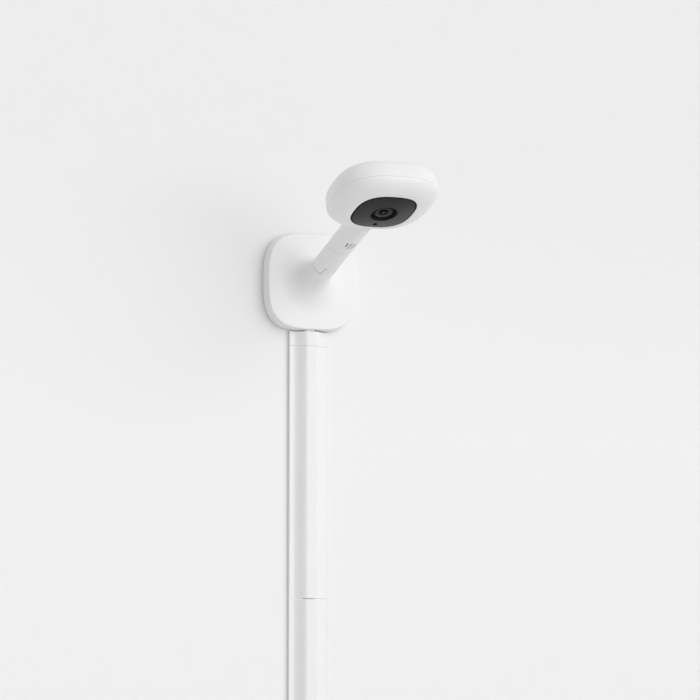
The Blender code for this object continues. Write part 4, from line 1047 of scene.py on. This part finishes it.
def make_light_sensor():
    """The sensor dot, a black-lined hole that is flush with the window."""
    rim = window_level(DOT_FROM_LENS)
    bore = DOT_RADIUS - DOT_WALL
    profile = [
        (DOT_RADIUS, node_top("light_sensor")),
        (DOT_RADIUS, rim + FINE_EDGE),
        (DOT_RADIUS - FINE_EDGE, rim),
        (bore, rim + FINE_EDGE),
        (bore, rim + DOT_DEPTH),
        (FINE_EDGE, rim + DOT_DEPTH),
    ]
    place = LENS @ shift(0, DOT_FROM_LENS)
    sensor = turned("light_sensor_skin", profile, place, points=DOT_POINTS)
    stands_for(sensor, "light_sensor", "camera_head", "black_gloss")


def make_shadow_band():
    """A black band that stands in for shadow: painted shadow in the gap between window and shell, and a
    thin black border on the window's edge.
    """
    outward = WINDOW_GAP - SHADOW_BAND_PLAY
    inner = (WINDOW_HALF_WIDTH - SHADOW_BAND_WIDTH, WINDOW_HALF_LENGTH - SHADOW_BAND_WIDTH)
    outer = (WINDOW_HALF_WIDTH + outward, WINDOW_HALF_LENGTH + outward)
    rings = [
        head_ring(*inner, window_level(inner[0]) - SHADOW_BAND_PROUD, WINDOW_BACK),
        head_ring(WINDOW_HALF_WIDTH, WINDOW_HALF_LENGTH, WINDOW_FACE - SHADOW_BAND_PROUD, WINDOW_BACK),
        head_ring(*outer, WINDOW_FACE + EDGE, WINDOW_BACK),
        head_ring(*outer, WINDOW_TOP, WINDOW_BACK),
        head_ring(*inner, WINDOW_TOP, WINDOW_BACK),
    ]
    shadow_band = loft("window_shadow_band", rings, HEAD, closed=True)
    settle(shadow_band)
    shadow_band.data.materials.append(FINISH["black_satin"])
    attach(shadow_band, "camera_head")


def make_lens_bezel():
    """The dish round the lens: a lip, a narrow land and a round hollow down to its throat."""
    rim = RECESS_RADIUS - SEAT
    throat = LENS_RING_RADIUS + SEAT
    face = window_level(RECESS_RADIUS)
    floor = WINDOW_FACE + RECESS_DEPTH
    profile = [(rim, floor), (rim, face + BEZEL_LIP), (rim - BEZEL_LIP, face)]
    dish_steps = 12
    for step in range(dish_steps + 1):
        turn = math.pi / 2 * step / dish_steps
        radius = between(rim - BEZEL_LAND, throat, 1 - math.cos(turn))
        profile.append((radius, between(face, floor - BEZEL_THROAT, math.sin(turn))))
    profile.append((throat, floor))
    bezel = turned("lens_bezel_skin", profile, LENS, ring=True)
    stands_for(bezel, "lens_bezel", "camera_head", "black_satin", "bezel_black")


def lens_ring_front():
    """Level of the lens ring's front, behind the edge of the recess."""
    return window_level(RECESS_RADIUS) + LENS_RING_SET_BACK


def make_lens_ring():
    """The ring round the glass: a sloping shoulder, a step, a flat land and a bevel into the bore."""
    top = node_top("lens_ring")
    front = lens_ring_front()
    bore = LENS_RADIUS + LENS_PLAY
    profile = [
        (LENS_RING_RADIUS, top),
        (LENS_RING_RADIUS, front + LENS_RING_SHOULDER),
        (bore + LENS_RING_STEP_END, front + LENS_RING_STEP),
        (bore + LENS_RING_LAND_END, front),
        (bore + LENS_RING_BEVEL, front),
        (bore, front + LENS_RING_BEVEL),
        (bore, top),
    ]
    ring = turned("lens_ring_skin", rounded(profile, LENS_RING_ROUNDING), LENS, ring=True)
    stands_for(ring, "lens_ring", "camera_head", "black_gloss")


def make_lens_glass():
    """A shallow dome just behind the ring's front."""
    top = node_top("lens_ring")
    crest = lens_ring_front() + GLASS_SET_BACK
    profile = [(GLASS_BACK_CAP, top), (LENS_RADIUS, top)]
    dome_steps = 24
    for step in range(dome_steps):
        share = 1 - step / dome_steps
        profile.append((LENS_RADIUS * share, crest + LENS_DOME * share ** 2))
    profile.append((GLASS_FRONT_CAP, crest))
    glass = turned("lens_glass_skin", profile, LENS)
    stands_for(glass, "lens_front_element", "camera_head", "lens_glass")


# Stage, light and camera

# Wall and floor, with lengths in metres
WALL_GAP = 0.0004
FLOOR_GAP = 0.02
STAGE_REACH = 3.0
BACK_MARGIN = 0.0012
# The wall is painted darker towards the top, a painted shade from its pale tone at the low height to its
# upper tone at the high one
WALL_PALE = (0.885, 0.885, 0.885)
WALL_SHADED_TOP = (0.84, 0.84, 0.84)
FLOOR_PAINT = (0.82, 0.82, 0.82)
SHADE_LOW = -0.12
SHADE_HIGH = 0.1

# Surround and key light
WORLD_LEVEL = 0.56
WORLD_SEEN = 0.82
KEY_STRENGTH = 1.57
KEY_WIDTH = math.radians(55.0)
KEY_FROM = Vector((0.5, -0.82, 0.28))

# Camera, with angles in radians, and its lens and sensor in millimetres
CAMERA_PLACE = Vector((-794.32, -1880.66, -275.29)) * MM
CAMERA_YAW = 0.4158
CAMERA_PITCH = 0.1084
CAMERA_LENS = 133.73
SENSOR_WIDTH = 36.0


def stage_material(name, pale, shaded_top):
    """Paint that may grow darker with height, which on the wall is painted shade towards its top. Its
    back lets the view through, to show the object.
    """
    made = Shader(name)
    geometry = made.add("ShaderNodeNewGeometry")
    height = made.add("ShaderNodeSeparateXYZ")
    made.link(geometry.outputs["Position"], height.inputs["Vector"])
    level = made.add("ShaderNodeMapRange")
    level.inputs["From Min"].default_value = SHADE_LOW
    level.inputs["From Max"].default_value = SHADE_HIGH
    made.link(height.outputs["Z"], level.inputs["Value"])
    # Painted shade: the colour darkens with height
    made.colour(made.ramp(level.outputs["Result"], [(0.0, pale), (1.0, shaded_top)]))
    made.set(roughness=0.9, specular_ior_level=0.2)
    made.bump(made.noise(scale=900.0), depth=0.00003, strength=0.2)
    clear = made.add("ShaderNodeBsdfTransparent")
    mix = made.add("ShaderNodeMixShader")
    made.link(geometry.outputs["Backfacing"], mix.inputs["Fac"])
    made.link(made.main.outputs["BSDF"], mix.inputs[1])
    made.link(clear.outputs["BSDF"], mix.inputs[2])
    made.link(mix.outputs["Shader"], made.tree.nodes["Material Output"].inputs["Surface"])
    return made.material


def stage_sheet(name, outlines, matrix, material):
    """A flat sheet; outlines after the first are holes in it."""
    curve = bpy.data.curves.new(name, "CURVE")
    curve.dimensions = "2D"
    curve.fill_mode = "BOTH"
    for outline in outlines:
        spline = curve.splines.new("POLY")
        spline.points.add(len(outline) - 1)
        for point, (x, y) in zip(spline.points, outline):
            point.co = (x, y, 0, 1)
        spline.use_cyclic_u = True
    drawn = bpy.data.objects.new(name + "_outline", curve)
    mesh = bpy.data.meshes.new_from_object(drawn)
    bpy.data.objects.remove(drawn)
    mesh.materials.clear()
    mesh.materials.append(material)
    made = add_object(name, mesh, matrix)


def make_stage():
    """A wall with hidden openings that let light reach the object's back, and a floor below it."""
    lowest = CAD_BOX[0][2]
    floor_z = lowest - FLOOR_GAP
    half = PLATE_HALF * MM - BACK_MARGIN
    side = RACEWAY_HALF_WIDTH * MM - BACK_MARGIN
    sheet = rectangle(-STAGE_REACH, floor_z, STAGE_REACH, STAGE_REACH)
    behind_plate = superellipse(half, half, PLATE_EXPONENT)
    behind_raceway = rectangle(-side, lowest + BACK_MARGIN, side, -PLATE_HALF * MM - BACK_MARGIN)
    upright = Matrix.Translation((0, WALL_GAP, 0)) @ Matrix.Rotation(math.pi / 2, 4, "X")
    paint = stage_material("wall_paint_and_shade", WALL_PALE, WALL_SHADED_TOP)
    stage_sheet("backdrop_wall", [sheet, behind_plate, behind_raceway], upright, paint)
    ground = rectangle(-STAGE_REACH, -STAGE_REACH, STAGE_REACH, STAGE_REACH)
    paint = stage_material("floor_paint", FLOOR_PAINT, FLOOR_PAINT)
    stage_sheet("floor", [ground], Matrix.Translation((0, 0, floor_z)), paint)


def make_light():
    """An even pale surround, brighter where it is seen or mirrored, and a broad key from the right."""
    world = bpy.data.worlds.new("studio")
    bpy.context.scene.world = world
    world.use_nodes = True
    tree = world.node_tree
    path = tree.nodes.new("ShaderNodeLightPath")
    seen = path.outputs["Is Camera Ray"]
    for kind in ("Is Glossy Ray", "Is Transmission Ray"):
        either = tree.nodes.new("ShaderNodeMath")
        either.operation = "MAXIMUM"
        tree.links.new(seen, either.inputs[0])
        tree.links.new(path.outputs[kind], either.inputs[1])
        seen = either.outputs[0]
    level = tree.nodes.new("ShaderNodeMapRange")
    level.inputs["To Min"].default_value = WORLD_LEVEL
    level.inputs["To Max"].default_value = WORLD_SEEN
    tree.links.new(seen, level.inputs["Value"])
    background = tree.nodes["Background"]
    background.inputs["Color"].default_value = (1.0, 1.0, 1.0, 1.0)
    tree.links.new(level.outputs["Result"], background.inputs["Strength"])
    lamp = bpy.data.lights.new("key", "SUN")
    lamp.energy = KEY_STRENGTH
    lamp.angle = KEY_WIDTH
    made = bpy.data.objects.new("key", lamp)
    made.rotation_euler = (-KEY_FROM).to_track_quat("-Z", "Y").to_euler()
    bpy.context.scene.collection.objects.link(made)


def make_camera():
    """The photograph's view, as fitted to the object's outlines."""
    data = bpy.data.cameras.new("camera")
    data.sensor_width = SENSOR_WIDTH
    data.lens = CAMERA_LENS
    made = bpy.data.objects.new("camera", data)
    made.location = CAMERA_PLACE
    level = math.cos(CAMERA_PITCH)
    look = Vector((math.sin(CAMERA_YAW) * level, math.cos(CAMERA_YAW) * level, math.sin(CAMERA_PITCH)))
    made.rotation_euler = look.to_track_quat("-Z", "Y").to_euler()
    bpy.context.scene.collection.objects.link(made)
    bpy.context.scene.camera = made


bpy.context.scene.view_settings.view_transform = "Standard"
dress_nodes()
make_mount_cover()
make_raceway()
make_stem_sleeve()
make_stem_tube()
make_release_tab()
make_tab_spring()
make_head_top()
make_head_bottom()
make_window()
make_light_sensor()
make_shadow_band()
make_lens_bezel()
make_lens_ring()
make_lens_glass()
make_stage()
make_light()
make_camera()
